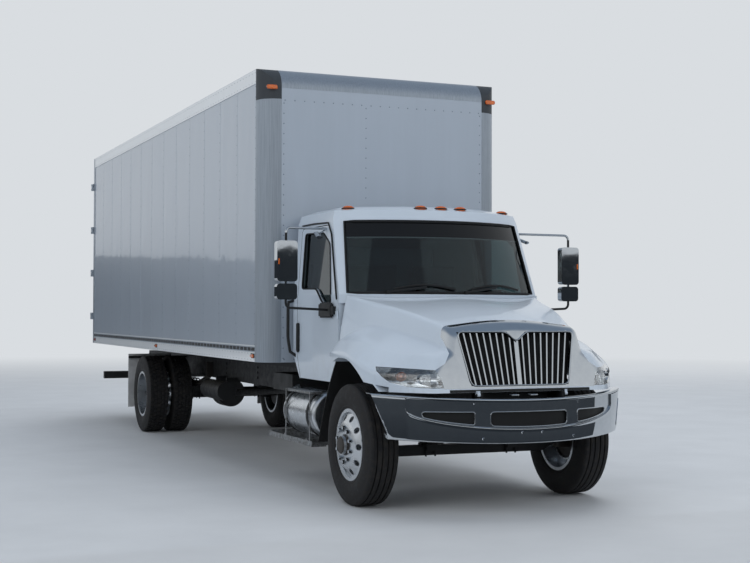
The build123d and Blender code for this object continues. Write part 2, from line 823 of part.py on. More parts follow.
# Hood sections from the cowl to the nose. Each row gives its distance behind the front axle at
# the hood's lower edge and how far it leans back, then the centre's height, and half-width and
# height of the shoulder, of the valley beside the fender, and of the fender's crown and edge.
hood_rows = (
    (535, 0, 1800, (955, 1775), (1000, 1345), (1052, 1304), (1092, 1266)),
    (400, 0, 1785, (920, 1750), (975, 1425), (1080, 1350), (1135, 1272)),
    (200, 0, 1764, (868, 1716), (915, 1486), (1075, 1385), (1168, 1276)),
    (-60, 0, 1730, (800, 1672), (842, 1488), (1050, 1378), (1178, 1270)),
    (-330, 0, 1682, (722, 1616), (762, 1440), (1000, 1335), (1172, 1205)),
    (-560, 0.04, 1634, (655, 1560), (692, 1395), (915, 1290), (1090, 1135)),
    (-730, 0.12, 1602, (616, 1528), (648, 1364), (830, 1286), (970, 1128)),
    (-850, nose_lean, 1586, (602, 1513), (632, 1345), (770, 1280), (880, 1123)),
    (-895, nose_lean, 1568, (590, 1500), (618, 1335), (735, 1268), (838, 1120)),
    (-923, nose_lean, 1540, (573, 1480), (602, 1318), (705, 1250), (805, 1112)),
    (-939, nose_lean, 1512, (553, 1462), (585, 1300), (680, 1232), (778, 1104)),
    (nose_low_y, nose_lean, 1492, (538, 1445), (568, 1285), (660, 1218), (755, 1096)),
)
flank_radii = (1500, 20, 12, 18, 14)
fender_radii = (3000, 60, 50, 110, 60)
fender_start_y = 300
lamp_outline = (
    (688, 1024), (702, 1100), (744, 1166), (1084, 1184), (1094, 1150), (1075, 1110), (1030, 1062),
    (930, 1030), (800, 1024),
)
grille_opening = (
    (-445, 52), (445, 52), (535, 490), (84, 490), (0, 405), (-84, 490), (-535, 490),
)
grille_zone = (
    (-692, 32), (692, 32), (705, 116), (750, 186), (662, 236), (612, 320), (640, 700), (-640, 700),
    (-612, 320), (-662, 236), (-750, 186), (-705, 116),
)
bars_a_side = 8


def leaning(y, lean):
    """Plane across the truck at the hood's lower edge, leaning back by a share of its height."""
    return Plane(
        origin=spot(0, y, hood_low), x_dir=(1, 0, 0), z_dir=Vector(0, -1, lean).normalized()
    )


def hood_solid(inset):
    """The hood's outer form, or the space inside it when inset is the wall."""
    with BuildPart() as body:
        profiles = []
        for y, lean, centre, *corners in hood_rows:
            plane = leaning(y + (inset if lean else 0), lean)
            half = [(0, centre - hood_low - inset)]
            half += [(x - inset, z - hood_low - inset) for x, z in corners]
            foot = (corners[-1][0] - inset, -2 * inset)
            radii = flank_radii if y > fender_start_y else fender_radii
            with BuildSketch(plane) as profile:
                with BuildLine():
                    Polyline(*half, foot, (-foot[0], foot[1]), *handed(half[:0:-1], -1), close=True)
                make_face()
                for (x, height), radius in zip(half, radii):
                    for corner_x in {x, -x}:
                        corner = profile.vertices().sort_by_distance((corner_x, height, 0))[:1]
                        fillet(corner, radius)
            profiles.append(profile.sketch)
        loft(sections=profiles)
    return body.part


hood_outer = hood_solid(0)
hood_inner = hood_solid(hood_wall)
nose_plane = leaning(nose_low_y, nose_lean)
with BuildPart() as hood_walls:
    add(hood_outer)
    add(hood_inner, mode=Mode.SUBTRACT)
with BuildPart() as wheel_liners:
    for hand, _ in hands:
        with BuildSketch(side(hand * 640)) as ring:
            with Locations((0, arch_z)):
                Circle(liner_radius + hood_wall)
                Circle(liner_radius, mode=Mode.SUBTRACT)
            with BuildLine():
                Polyline((0, arch_z), (520, 1900), (-1500, 1900), (-1500, 1020), close=True)
            make_face(mode=Mode.INTERSECT)
        extrude(amount=hand * 560)
    add(hood_outer, mode=Mode.INTERSECT)
with BuildPart() as hood_shell:
    add(hood_walls.part)
    for hand, _ in hands:
        with BuildSketch(side(hand * 640)) as arch:
            with BuildLine():
                Polyline((-405, 1056), (-640, 1024), (-640, 880), (700, 880), (700, 1236), (-20, 1236))
                ThreePointArc((-20, 1236), (-265, 1168), (-405, 1056))
            make_face()
        extrude(arch.sketch, amount=hand * 600, mode=Mode.SUBTRACT)
    with BuildSketch(level(1500)):
        with BuildLine():
            ThreePointArc((-cab_half, cab_front_y - 9), (0, cowl_centre_y - 9), (cab_half, cab_front_y - 9))
            Polyline((cab_half, cab_front_y - 9), (cab_half, 700), (-cab_half, 700), (-cab_half, cab_front_y - 9))
        make_face()
    extrude(amount=400, mode=Mode.SUBTRACT)
    outline(grille_zone, nose_plane.offset(40), -160, Mode.SUBTRACT)
    add(wheel_liners.part)
    for hand, _ in hands:
        outline(handed(lamp_outline, hand), section(-460), 600, Mode.SUBTRACT)
    for hand, _ in hands:
        block(
            (hand * (hood_pin_x - 8), hand * (hood_pin_x + 16)), (hood_pin_y - 12, nose_low_y + 11),
            (hood_pin_z, hood_low + 14),
        )
        rod(
            (hand * (hood_pin_x - 8), hood_pin_y, hood_pin_z), (hand * (hood_pin_x + 16), hood_pin_y, hood_pin_z),
            20,
        )
        rod(
            (hand * (hood_pin_x - 30), hood_pin_y, hood_pin_z), (hand * (hood_pin_x + 30), hood_pin_y, hood_pin_z),
            hood_pin_radius + running_gap, Mode.SUBTRACT,
        )
keep("hood_shell", hood_shell.part)

# Grille: a bright nose cap round a notched opening, a centre bar and fanned slim bars.
with BuildPart() as grille:
    outline(grille_zone, nose_plane.offset(40), -160, grow=-glass_gap)
    add(hood_walls.part, mode=Mode.INTERSECT)
    outline(grille_opening, nose_plane.offset(40), -160, Mode.SUBTRACT)
    for hand, _ in hands:
        outline(handed(lamp_outline, hand), section(-460), 600, Mode.SUBTRACT)
    with BuildSketch(nose_plane.offset(-10)) as bars:
        for number in range(-bars_a_side, bars_a_side + 1):
            foot = number * 445 / (bars_a_side + 1)
            head = number * 535 / (bars_a_side + 1)
            half_bar = 19 if number == 0 else 6
            with BuildLine():
                Polyline(
                    (foot - half_bar, 40), (foot + half_bar, 40), (head + half_bar, 502), (head - half_bar, 502),
                    close=True,
                )
            make_face()
    extrude(bars.sketch, amount=-34)
keep("grille", grille.part)

# Headlamps: wrapped units that fill their openings at the hood's corners.
hood_core = hood_solid(70)
with BuildPart() as headlamps:
    for hand, _ in hands:
        outline(handed(lamp_outline, hand), section(-460), 600, grow=-glass_gap)
    add(hood_outer, mode=Mode.INTERSECT)
    add(hood_core, mode=Mode.SUBTRACT)
keep("headlamps", headlamps.part)

# Bumper: a bowed steel channel with a smiling recess round its three openings, and two arms.
bumper_depth_y = bumper_end_y + bumper_overhang
bumper_radius = (bumper_half ** 2 + bumper_depth_y ** 2) / (2 * bumper_depth_y)
bumper_centre_y = -bumper_overhang + bumper_radius
smile_z = 850
smile_half = 955
smile_drop = 155
recess = 10


def bowed(near, far, mode):
    """Cuts the shape down to a bowed sheet, or cuts the sheet out of it."""
    with BuildSketch(level(bumper_low - 50)) as bow:
        with Locations((0, bumper_centre_y)):
            Circle(bumper_radius - near)
            Circle(bumper_radius - far, mode=Mode.SUBTRACT)
    extrude(bow.sketch, amount=bumper_end_top - bumper_low + 100, mode=mode)


def bumper_sheet(near, far, trim):
    """The bumper's outline as a bowed sheet between two depths behind its face."""
    with BuildPart() as sheet:
        with BuildSketch(section(0)) as face:
            with BuildLine():
                ThreePointArc((-bumper_half, bumper_end_top), (0, bumper_top), (bumper_half, bumper_end_top))
                Line((bumper_half, bumper_end_top), (bumper_foot_half, bumper_low + 26))
                ThreePointArc(
                    (bumper_foot_half, bumper_low + 26), (0, bumper_low), (-bumper_foot_half, bumper_low + 26)
                )
                Line((-bumper_foot_half, bumper_low + 26), (-bumper_half, bumper_end_top))
            make_face()
            fillet(face.vertices().group_by(Axis.Z)[0], 45)
            if trim:
                offset(amount=-trim)
        extrude(face.sketch, amount=2 * bumper_overhang)
        bowed(near, far, Mode.INTERSECT)
    return sheet.part


def smile_sheet(near, far, grow, top):
    """The lower half of an ellipse on the bumper's face, as a bowed sheet."""
    with BuildPart() as sheet:
        with BuildSketch(section(0)) as face:
            with Locations((0, smile_z)):
                Ellipse(smile_half + grow, smile_drop + grow)
            with Locations((0, top - smile_drop)):
                Rectangle(2 * smile_half + 100, 2 * smile_drop, mode=Mode.INTERSECT)
        extrude(face.sketch, amount=2 * bumper_overhang)
        bowed(near, far, Mode.INTERSECT)
    return sheet.part


with BuildPart() as front_bumper:
    add(bumper_sheet(0, bumper_depth, 0))
    add(bumper_sheet(bumper_wall, bumper_depth + 5, bumper_wall), mode=Mode.SUBTRACT)
    add(smile_sheet(0, recess + bumper_wall, bumper_wall, smile_z + 14 + bumper_wall))
    add(smile_sheet(-5, recess, 0, smile_z + 14), mode=Mode.SUBTRACT)
    with BuildSketch(section(0)) as slots:
        with Locations((0, smile_z)):
            Ellipse(smile_half - 24, smile_drop - 24)
        with Locations((0, smile_z - 12 - smile_drop)):
            Rectangle(2 * 840, 2 * smile_drop, mode=Mode.INTERSECT)
        with Locations((-405, smile_z), (405, smile_z)):
            Rectangle(120, 400, mode=Mode.SUBTRACT)
        fillet(slots.vertices(), 16)
    extrude(slots.sketch, amount=2 * bumper_overhang, mode=Mode.SUBTRACT)
    for hand, _ in hands:
        block(
            (hand * (rail_x - 4), hand * (rail_x - 70)), (-1066, rail_front_y - 50), (rail_bottom + 10, rail_bottom + 110)
        )
keep("front_bumper", front_bumper.part)

# Steering knuckles: a yoke round the beam's boss, the kingpin, a backing plate and a spindle.
for hand, word in hands:
    with BuildPart() as knuckle:
        x = hand * kingpin_x
        top = tyre_radius + half_boss + running_gap
        low = tyre_radius - half_boss - running_gap
        plate = (hand * (kingpin_x + 55), hand * (kingpin_x + 95))
        for z in (top, low - yoke_wall):
            rod((x, 0, z), (x, 0, z + yoke_wall), boss_radius)
            block((x, hand * (kingpin_x + 60)), (-boss_radius, boss_radius), (z, z + yoke_wall))
        block(plate, (-60, 60), (low - yoke_wall, top + yoke_wall))
        rod((x, 0, low - 5), (x, 0, top + 5), kingpin_radius)
        rod(
            (hand * (kingpin_x + 90), 0, tyre_radius), (hand * (front_disc_x - 4), 0, tyre_radius), spindle_radius
        )
        rod(
            (hand * (kingpin_x + 95), 0, tyre_radius), (hand * (kingpin_x + 95 + backing_wall), 0, tyre_radius),
            backing_radius,
        )
    keep("knuckle_" + word, knuckle.part)


def barrel(centre, flip):
    """Outlines of a rim's barrel and its two lips."""
    half = rim_width / 2
    return (
        handed(box_points(centre - half, centre + half, bead_radius - barrel_wall, bead_radius), flip),
        handed(box_points(centre - half, centre - half + 8, bead_radius - barrel_wall, lip_radius), flip),
        handed(box_points(centre + half - 8, centre + half, bead_radius - barrel_wall, lip_radius), flip),
    )


def tyre_points(centre, flip):
    """Outline of a tyre's casing, open at the beads."""
    half = tyre_width / 2
    seat = bead_radius + running_gap
    outer = ((-104, seat), (-half, 395), (-half + 20, 496), (-half + 38, tyre_radius))
    inner = ((-84, seat), (-half + 22, 395), (-half + 46, 470))
    points = list(outer) + [(-x, z) for x, z in outer[::-1]] + [(-x, z) for x, z in inner] + list(inner[::-1])
    return handed([(centre + x, z) for x, z in points], flip)


def hand_hole_cuts(x_low, x_high, y):
    """The ring of round openings through a wheel disc."""
    with BuildSketch(Plane(origin=spot(x_low, y, tyre_radius), x_dir=(0, 1, 0), z_dir=(1, 0, 0))) as holes:
        with PolarLocations(hand_hole_circle, hand_holes):
            Circle(hand_hole_radius)
    extrude(holes.sketch, amount=x_high - x_low, mode=Mode.SUBTRACT)


# Front wheels: disc wheels dished outwards, with hub, drum and tyre.
hub_start = kingpin_x + 95 + backing_wall + running_gap
for hand, word in hands:
    rim_half = rim_width / 2
    with BuildPart() as front_rim:
        turned(
            barrel(front_centre_x, hand) + (
                handed(
                    ((front_centre_x + rim_half - 40, bead_radius - barrel_wall),
                     (front_centre_x + rim_half - 22, bead_radius - barrel_wall),
                     (front_disc_x + disc_wall, disc_round), (front_disc_x + disc_wall, 0),
                     (front_disc_x, 0), (front_disc_x, disc_round)), hand),
                handed(box_points(hub_start, front_disc_x, spindle_radius + running_gap, hub_radius), hand),
                handed(box_points(front_disc_x + disc_wall, front_disc_x + 52, 0, 80), hand),
                handed(box_points(1050, 1063, hub_radius, drum_radius), hand),
                handed(box_points(975, 1063, drum_radius - drum_wall, drum_radius), hand),
            ),
            0,
        )
        hand_hole_cuts(*sorted((hand * 1080, hand * 1175)), 0)
    keep("front_rim_" + word, front_rim.part)
    with BuildPart() as front_tyre:
        turned((tyre_points(front_centre_x, hand),), 0)
    keep("front_tyre_" + word, front_tyre.part)

# Rear wheels: two discs back to back on each hub, dished away from each other.
for hand, word in hands:
    inner_x = dual_x - disc_offset
    outer_x = dual_x + disc_offset
    with BuildPart() as rear_rims:
        turned(
            barrel(inner_x, hand) + barrel(outer_x, hand) + (
                handed(
                    ((dual_x + 62, bead_radius - barrel_wall), (dual_x + 44, bead_radius - barrel_wall),
                     (dual_x, disc_round), (dual_x - 44, bead_radius - barrel_wall),
                     (dual_x - 62, bead_radius - barrel_wall), (dual_x - disc_wall, disc_round),
                     (dual_x - disc_wall, hub_radius), (dual_x + disc_wall, hub_radius),
                     (dual_x + disc_wall, disc_round)), hand),
                handed(
                    box_points(tube_end_x + 6, dual_x + 50, rear_spindle_radius + running_gap, hub_radius), hand
                ),
                handed(box_points(dual_x + 50, dual_x + 95, 0, hub_radius), hand),
                handed(box_points(872, 885, hub_radius, drum_radius), hand),
                handed(box_points(722, 885, drum_radius - drum_wall, drum_radius), hand),
            ),
            wheelbase,
        )
        hand_hole_cuts(*sorted((hand * 845, hand * 985)), wheelbase)
    keep("rear_rims_" + word, rear_rims.part)
    with BuildPart() as rear_tyres:
        turned((tyre_points(inner_x, hand), tyre_points(outer_x, hand)), wheelbase)
    keep("rear_tyres_" + word, rear_tyres.part)

# Van body floor: boards on cross bearers, with two sills along the frame rails.
with BuildPart() as box_floor:
    inside = box_half - box_wall
    front = nose_y + box_wall
    back = box_rear_y - rear_post
    with BuildSketch(level(floor_top - floor_board)) as boards:
        with Locations((0, (front + back) / 2)):
            Rectangle(2 * inside, back - front)
        fillet(boards.vertices().group_by(Axis.Y)[0], corner_radius - box_wall + 2)
    extrude(amount=floor_board)
    y = nose_y + corner_radius + 20
    while y < box_rear_y - rear_post - bearer_width:
        block((-inside, inside), (y, y + bearer_width), (box_low, floor_top - floor_board))
        y += bearer_pitch
    for hand, _ in hands:
        block(
            (hand * rail_x, hand * (rail_x - rail_flange)), (nose_y + 100, sill_end_y), (rail_top, box_low)
        )
keep("box_floor", box_floor.part)

# Side walls: smooth panels set in from a bottom rail and a top rail.
for hand, word in hands:
    with BuildPart() as box_side:
        y_range = (nose_y + corner_radius, box_rear_y - rear_post)
        block((hand * (box_half - box_wall), hand * box_half), y_range, (box_low, box_top))
        block(
            (hand * (box_half - panel_step), hand * (box_half + 1)), y_range,
            (box_low + bottom_rail, box_top - top_rail), Mode.SUBTRACT,
        )
    keep("box_side_" + word, box_side.part)


def nose_solid(inset):
    """The van body's front, rounded at both upright corners and along the top."""
    radius = corner_radius - inset
    half = box_half - inset
    front = nose_y + inset
    back = nose_y + corner_radius
    top = box_top - inset
    with BuildPart() as body:
        with BuildSketch(level(box_low)) as plan:
            with Locations((0, (front + back) / 2)):
                Rectangle(2 * half, back - front)
            fillet(plan.vertices().group_by(Axis.Y)[0], radius - 0.5)
        extrude(amount=box_top - box_low)
        with BuildSketch(side(-half)) as profile:
            with Locations(((front + back) / 2, (box_low + top) / 2)):
                Rectangle(back - front, top - box_low)
            fillet(profile.vertices().group_by(Axis.Y)[-1].sort_by(Axis.X)[0], radius - 0.5)
        extrude(amount=2 * half, mode=Mode.INTERSECT)
    return body.part


with BuildPart() as casting_zone:
    for hand, _ in hands:
        block(
            (hand * casting_half, hand * (box_half + 1)), (nose_y - 1, nose_y + corner_radius),
            (casting_low, box_top + 1),
        )
with BuildPart() as nose_shell:
    add(nose_solid(0))
    add(nose_solid(box_wall), mode=Mode.SUBTRACT)
with BuildPart() as box_nose:
    add(nose_shell.part)
    add(casting_zone.part, mode=Mode.SUBTRACT)
keep("box_nose", box_nose.part)
with BuildPart() as corner_castings:
    add(nose_shell.part)
    add(casting_zone.part, mode=Mode.INTERSECT)
keep("corner_castings", corner_castings.part)

# Roof: a flat skin on cross bows.
with BuildPart() as box_roof:
    inside = box_half - box_wall
    block(
        (-inside, inside), (nose_y + corner_radius, box_rear_y - rear_post), (box_top - roof_sheet, box_top)
    )
    y = nose_y + corner_radius + 300
    while y < box_rear_y - rear_post - 100:
        block((-inside, inside), (y, y + 40), (box_top - roof_sheet - 40, box_top - roof_sheet))
        y += 610
keep("box_roof", box_roof.part)

# Rear frame: two posts, a header and a sill, with the fixed halves of the door hinges.
with BuildPart() as rear_frame:
    depth = (box_rear_y - rear_post, box_rear_y)
    block((-box_half, box_half), depth, (box_low, box_top))
    block(
        (-box_half + rear_post, box_half - rear_post), (depth[0] - 1, depth[1] + 1),
        (floor_top, box_top - rear_header), Mode.SUBTRACT,
    )
    for hand, _ in hands:
        x = hand * rear_pin_x
        for z in rear_hinges_z:
            for low in (z - 52, z + 22):
                block((hand * (box_half - 20), x), (box_rear_y - 40, rear_pin_y), (low, low + 30))
                rod((x, rear_pin_y, low), (x, rear_pin_y, low + 30), rear_knuckle_radius)
            block(
                (hand * (box_half - 20), hand * (box_half + 4)), (box_rear_y - 40, box_rear_y), (z - 52, z + 52)
            )
            rod((x, rear_pin_y, z - 52), (x, rear_pin_y, z + 52), rear_pin_radius)
keep("box_rear_frame", rear_frame.part)

# Rear doors: flat panels with hinge straps, a lock rod and its handle.
for hand, word in hands:
    door_half = box_half - rear_post - rear_door_gap
    face_y = box_rear_y + rear_door_proud
    with BuildPart() as rear_door:
        block(
            (hand * 3, hand * door_half), (face_y - rear_door_wall, face_y),
            (floor_top + rear_door_gap, box_top - rear_header - rear_door_gap),
        )
        x = hand * rear_pin_x
        for z in rear_hinges_z:
            height = (z - 21.5, z + 21.5)
            block((hand * (door_half - 60), hand * (rear_pin_x + 10)), (face_y, face_y + 13), height)
            block((hand * (rear_pin_x - 10), hand * (rear_pin_x + 10)), (face_y, rear_pin_y), height)
            rod((x, rear_pin_y, z - 21.5), (x, rear_pin_y, z + 21.5), rear_knuckle_radius)
            rod((x, rear_pin_y, z - 25), (x, rear_pin_y, z + 25), rear_pin_radius + running_gap, Mode.SUBTRACT)
        rod(
            (hand * lock_rod_x, face_y + 18, floor_top + 20),
            (hand * lock_rod_x, face_y + 18, box_top - rear_header - 20), lock_rod_radius,
        )
        for z in (1400, 2050, 2900, 3700):
            block((hand * (lock_rod_x - 35), hand * (lock_rod_x + 35)), (face_y, face_y + 24), (z, z + 60))
        block((hand * lock_rod_x, hand * (lock_rod_x + 320)), (face_y + 12, face_y + 24), (1700, 1740))
        block((hand * (lock_rod_x + 280), hand * (lock_rod_x + 330)), (face_y, face_y + 20), (1680, 1760))
    keep("rear_door_" + word, rear_door.part)

# Rear guard: a bar across the frame's tail on two legs.
with BuildPart() as rear_guard:
    block((-guard_half, guard_half), (guard_y, rail_rear_y), (guard_low, guard_high))
    for hand, _ in hands:
        block((hand * rail_x, hand * (rail_x - 60)), (guard_y, rail_rear_y - 10), (guard_high, rail_bottom))
keep("rear_guard", rear_guard.part)

# Mud flaps behind the drive wheels, bolted to a bar from each rail.
with BuildPart() as mud_flaps:
    for hand, _ in hands:
        width = (hand * flap_inner_x, hand * flap_outer_x)
        block(width, (flap_y, flap_y + flap_wall), (flap_low, flap_bar_z + 2 * flap_bar))
keep("mud_flaps", mud_flaps.part)

os.makedirs("parts", exist_ok=True)
for name, shape in pieces.items():
    export_step(shape, f"parts/{name}.step")
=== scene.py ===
"""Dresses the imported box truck: a finish for every node, and the tread, bolts, rivets, seals,
lenses and trim that the solids leave out. Lengths are metres in the truck's own frame: it faces
-Y, +X is its left side, and Z is zero on the ground."""
import json
import math

import bmesh
import bpy
from mathutils import Matrix, Vector
from mathutils.bvhtree import BVHTree


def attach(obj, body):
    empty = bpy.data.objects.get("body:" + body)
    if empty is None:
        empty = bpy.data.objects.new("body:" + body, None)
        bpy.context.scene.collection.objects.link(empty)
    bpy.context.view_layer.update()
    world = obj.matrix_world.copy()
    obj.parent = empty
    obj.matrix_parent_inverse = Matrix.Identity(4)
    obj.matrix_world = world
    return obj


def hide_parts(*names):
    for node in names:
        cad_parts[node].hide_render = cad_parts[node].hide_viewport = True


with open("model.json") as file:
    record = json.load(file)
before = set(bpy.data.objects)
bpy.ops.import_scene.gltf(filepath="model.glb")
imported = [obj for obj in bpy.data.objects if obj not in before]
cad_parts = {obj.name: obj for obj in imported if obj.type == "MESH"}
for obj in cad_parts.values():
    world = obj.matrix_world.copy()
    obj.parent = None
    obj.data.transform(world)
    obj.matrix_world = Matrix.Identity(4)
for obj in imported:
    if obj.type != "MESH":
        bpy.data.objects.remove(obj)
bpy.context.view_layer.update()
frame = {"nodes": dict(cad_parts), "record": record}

bl_info = {
    "name": "Box truck dressing", "version": (1, 0, 0), "blender": (4, 5, 0),
    "location": "View3D > Sidebar > Box truck",
    "description": "Gives the packed box truck its finishes, tread, fasteners, seals and trim",
    "category": "Object"
}

# Places that the solids share with this script
FRONT_AXLE_Y = -4.650
REAR_AXLE_Y = 2.700
AXLE_Z = 0.510
HANDS = ((-1, "right"), (1, "left"))
FRONT_CENTRE_X = 1.000
REAR_CENTRE_X = 0.915
DUAL_OFFSET = 0.165
TYRE_RADIUS = 0.510
TREAD_HALF = 0.112
BOX_HALF = 1.2955
BOX_FRONT_Y = FRONT_AXLE_Y + 1.850
BOX_REAR_Y = FRONT_AXLE_Y + 10.380
BOX_LOW = 1.130
BOX_TOP = 4.010
BOX_CORNER = 0.200
CAB_HALF = 1.000
COWL_TOP = 1.778
ROOF_EDGE = 2.470
ROOF_HALF = 0.945
SCREEN_HALF = 0.995
MM = 0.001


def linear(code):
    """An sRGB hex colour as the linear RGBA that shaders take."""
    shares = [int(code[i:i + 2], 16) / 255 for i in (1, 3, 5)]
    return (*[s / 12.92 if s <= 0.04045 else ((s + 0.055) / 1.055) ** 2.4 for s in shares], 1.0)


def fill(tree, node, inputs):
    """Fills a node's inputs with values or other nodes' outputs."""
    for name, value in inputs.items():
        if isinstance(value, bpy.types.NodeSocket):
            tree.links.new(value, node.inputs[name])
        else:
            node.inputs[name].default_value = value


def add_node(tree, kind, inputs=None, **settings):
    """Adds a node, sets its own properties, and fills its inputs."""
    made = tree.nodes.new(kind)
    for name, value in settings.items():
        setattr(made, name, value)
    fill(tree, made, inputs or {})
    return made


def colour_property(name, code, description):
    """A colour that a user can change, its default given as sRGB hex."""
    return bpy.props.FloatVectorProperty(
        name=name, description=description, subtype="COLOR", size=4, min=0.0, max=1.0, default=linear(code)
    )


def length_property(name, metres, description):
    """A length that a user can change."""
    return bpy.props.FloatProperty(
        name=name, description=description, default=metres, min=0.0, unit="LENGTH", precision=4
    )


class TruckColours(bpy.types.PropertyGroup):
    """Colours of the truck's main finishes."""
    # The cab and the body are white; the blue-grey of these two defaults is painted dusk light, drawn darker
    # on the body.
    paint: colour_property("Cab paint", "#C6D2DF", "Enamel of the cab, hood and doors")
    skin: colour_property("Body sheet", "#A3AEBB", "Prepainted sheet of the van body's walls")
    edge: colour_property("Body edges", "#A3ACB6", "Extruded corners of the van body")
    rail: colour_property("Body rails", "#E2E7EB", "Riveted rails along the van body's sides")
    casting: colour_property("Corner castings", "#363B40", "Cast corners at the body's top")
    amber: colour_property("Amber lenses", "#E8701A", "Clearance lamps and front side markers")
    red: colour_property("Red lenses", "#A81414", "Tail lamps and rear markers")
    rubber: colour_property("Tyre rubber", "#1B1B1D", "Tyres")
    flap: colour_property("Mud flaps", "#A9ABAD", "Flaps behind the drive wheels")


class TruckSizes(bpy.types.PropertyGroup):
    """Sizes of the small pieces that this script adds."""
    rivet_radius: length_property("Rivet head radius", 0.0065, "Radius of a body rivet's head")
    rivet_pitch: length_property("Rivet pitch", 0.100, "Distance between rivets along a rail")
    seam_pitch: length_property("Seam pitch", 0.610, "Distance between the wall's upright seams")
    nut_radius: length_property("Wheel nut radius", 0.019, "Half of a wheel nut's width across corners")
    tread_depth: length_property("Tread depth", 0.014, "Depth of the tyres' grooves")
    seal_radius: length_property("Seal radius", 0.010, "Half the width of a window's rubber seal")
    wiper_length: length_property("Wiper blade length", 0.560, "Length of each wiper's blade")


# Finishes


def new_finish(name, sockets):
    """A material with its shader's plain sockets set, and its object position for patterns."""
    material = bpy.data.materials.new(name)
    material.use_nodes = True
    tree = material.node_tree
    shader = tree.nodes["Principled BSDF"]
    fill(tree, shader, sockets)
    position = add_node(tree, "ShaderNodeTexCoord").outputs["Object"]
    return material, tree, shader, position


def patches(tree, position, size_mm, stretch=(1, 1, 1), detail=4.0, low=0.0, high=1.0, start=0.3, end=0.7):
    """Cloudy patches of a size, as values from low to high. Stretch under 1 draws them out along an axis."""
    placed = add_node(tree, "ShaderNodeMapping", {"Vector": position, "Scale": stretch})
    cloud = add_node(
        tree, "ShaderNodeTexNoise",
        {"Vector": placed.outputs["Vector"], "Scale": 1000 / size_mm, "Detail": detail, "Roughness": 0.6},
    )
    spread = add_node(
        tree, "ShaderNodeMapRange",
        {"Value": cloud.outputs["Fac"], "From Min": start, "From Max": end, "To Min": low, "To Max": high},
    )
    return spread.outputs["Result"]


def layered(tree, base, *layers):
    """A colour with others laid over it in turn, each given by its share and itself."""
    for share, colour in layers:
        mixed = add_node(tree, "ShaderNodeMix", {"Factor": share, 6: base, 7: colour}, data_type="RGBA")
        base = mixed.outputs[2]
    return base


def embossed(tree, shader, heights, strength, depth_mm, **settings):
    """Raises a shader's surface by a pattern of heights, and returns the surface's new facing."""
    bump = add_node(
        tree, "ShaderNodeBump", {"Height": heights, "Strength": strength, "Distance": depth_mm * MM},
        **settings
    )
    tree.links.new(bump.outputs["Normal"], shader.inputs["Normal"])
    return bump.outputs["Normal"]


def pitted(tree, shader, position, size_mm, depth_mm, strength, stretch=(1, 1, 1), detail=3.0):
    """Lets a surface and its clear coat rise and fall over patches of a size."""
    relief = patches(tree, position, size_mm, stretch, detail)
    tree.links.new(embossed(tree, shader, relief, strength, depth_mm), shader.inputs["Coat Normal"])


def inner_skin(tree, position, centre):
    """One on faces that look towards a centre, as a shell's inner skin does, and zero on its outer skin."""
    away = add_node(tree, "ShaderNodeVectorMath", {0: position, 1: centre}, operation="SUBTRACT")
    normal = add_node(tree, "ShaderNodeTexCoord").outputs["Normal"]
    dot = add_node(
        tree, "ShaderNodeVectorMath", {0: away.outputs["Vector"], 1: normal}, operation="DOT_PRODUCT"
    )
    inward = add_node(
        tree, "ShaderNodeMapRange",
        {"Value": dot.outputs["Value"], "From Min": -0.02, "From Max": 0.0, "To Min": 1.0, "To Max": 0.0},
    )
    return inward.outputs["Result"]


def within(tree, position, axis, start, end):
    """Rises from zero at start to one at end along an axis, whichever of the two is lower."""
    along = add_node(tree, "ShaderNodeSeparateXYZ", {0: position}).outputs[axis]
    rise = add_node(
        tree, "ShaderNodeMapRange",
        {"Value": along, "From Min": min(start, end), "From Max": max(start, end),
         "To Min": float(start > end), "To Max": float(start < end)},
    )
    return rise.outputs["Result"]


def shade_of(colour, factor):
    """A colour made darker or lighter."""
    return (*[min(1.0, c * factor) for c in colour[:3]], 1.0)


def clouded(name, sockets, first, second, cloud, gloss, relief=None):
    """A finish whose colour wanders between two by a cloud, and its roughness by another. Cloud and gloss
    hold what patches takes, and relief what pitted takes."""
    material, tree, shader, position = new_finish(name, sockets)
    fill(tree, shader, {
        "Base Color": layered(tree, first, (patches(tree, position, **cloud), second)),
        "Roughness": patches(tree, position, **gloss),
    })
    if relief:
        pitted(tree, shader, position, **relief)
    return material


def ribbed(name, sockets, first, second, axes, pitch_mm, strength, depth_mm):
    """A finish with ribs at a pitch along each axis, painted darker in the valleys as painted shade and
    lighter on the crests as a painted highlight.
    """
    material, tree, shader, position = new_finish(name, sockets)
    # A band texture repeats 20 times in 2 pi at a scale of one.
    scale = 2 * math.pi / 20 * 1000 / pitch_mm
    crest = 1.0
    for axis in axes:
        bands = add_node(
            tree, "ShaderNodeTexWave", {"Vector": position, "Scale": scale}, bands_direction=axis
        )
        crest = add_node(
            tree, "ShaderNodeMath", {0: crest, 1: bands.outputs["Fac"]}, operation="MULTIPLY"
        ).outputs[0]
    # The valleys' colour is painted shade and the crests' colour a painted highlight.
    fill(tree, shader, {"Base Color": layered(tree, first, (crest, second))})
    embossed(tree, shader, crest, strength, depth_mm)
    return material


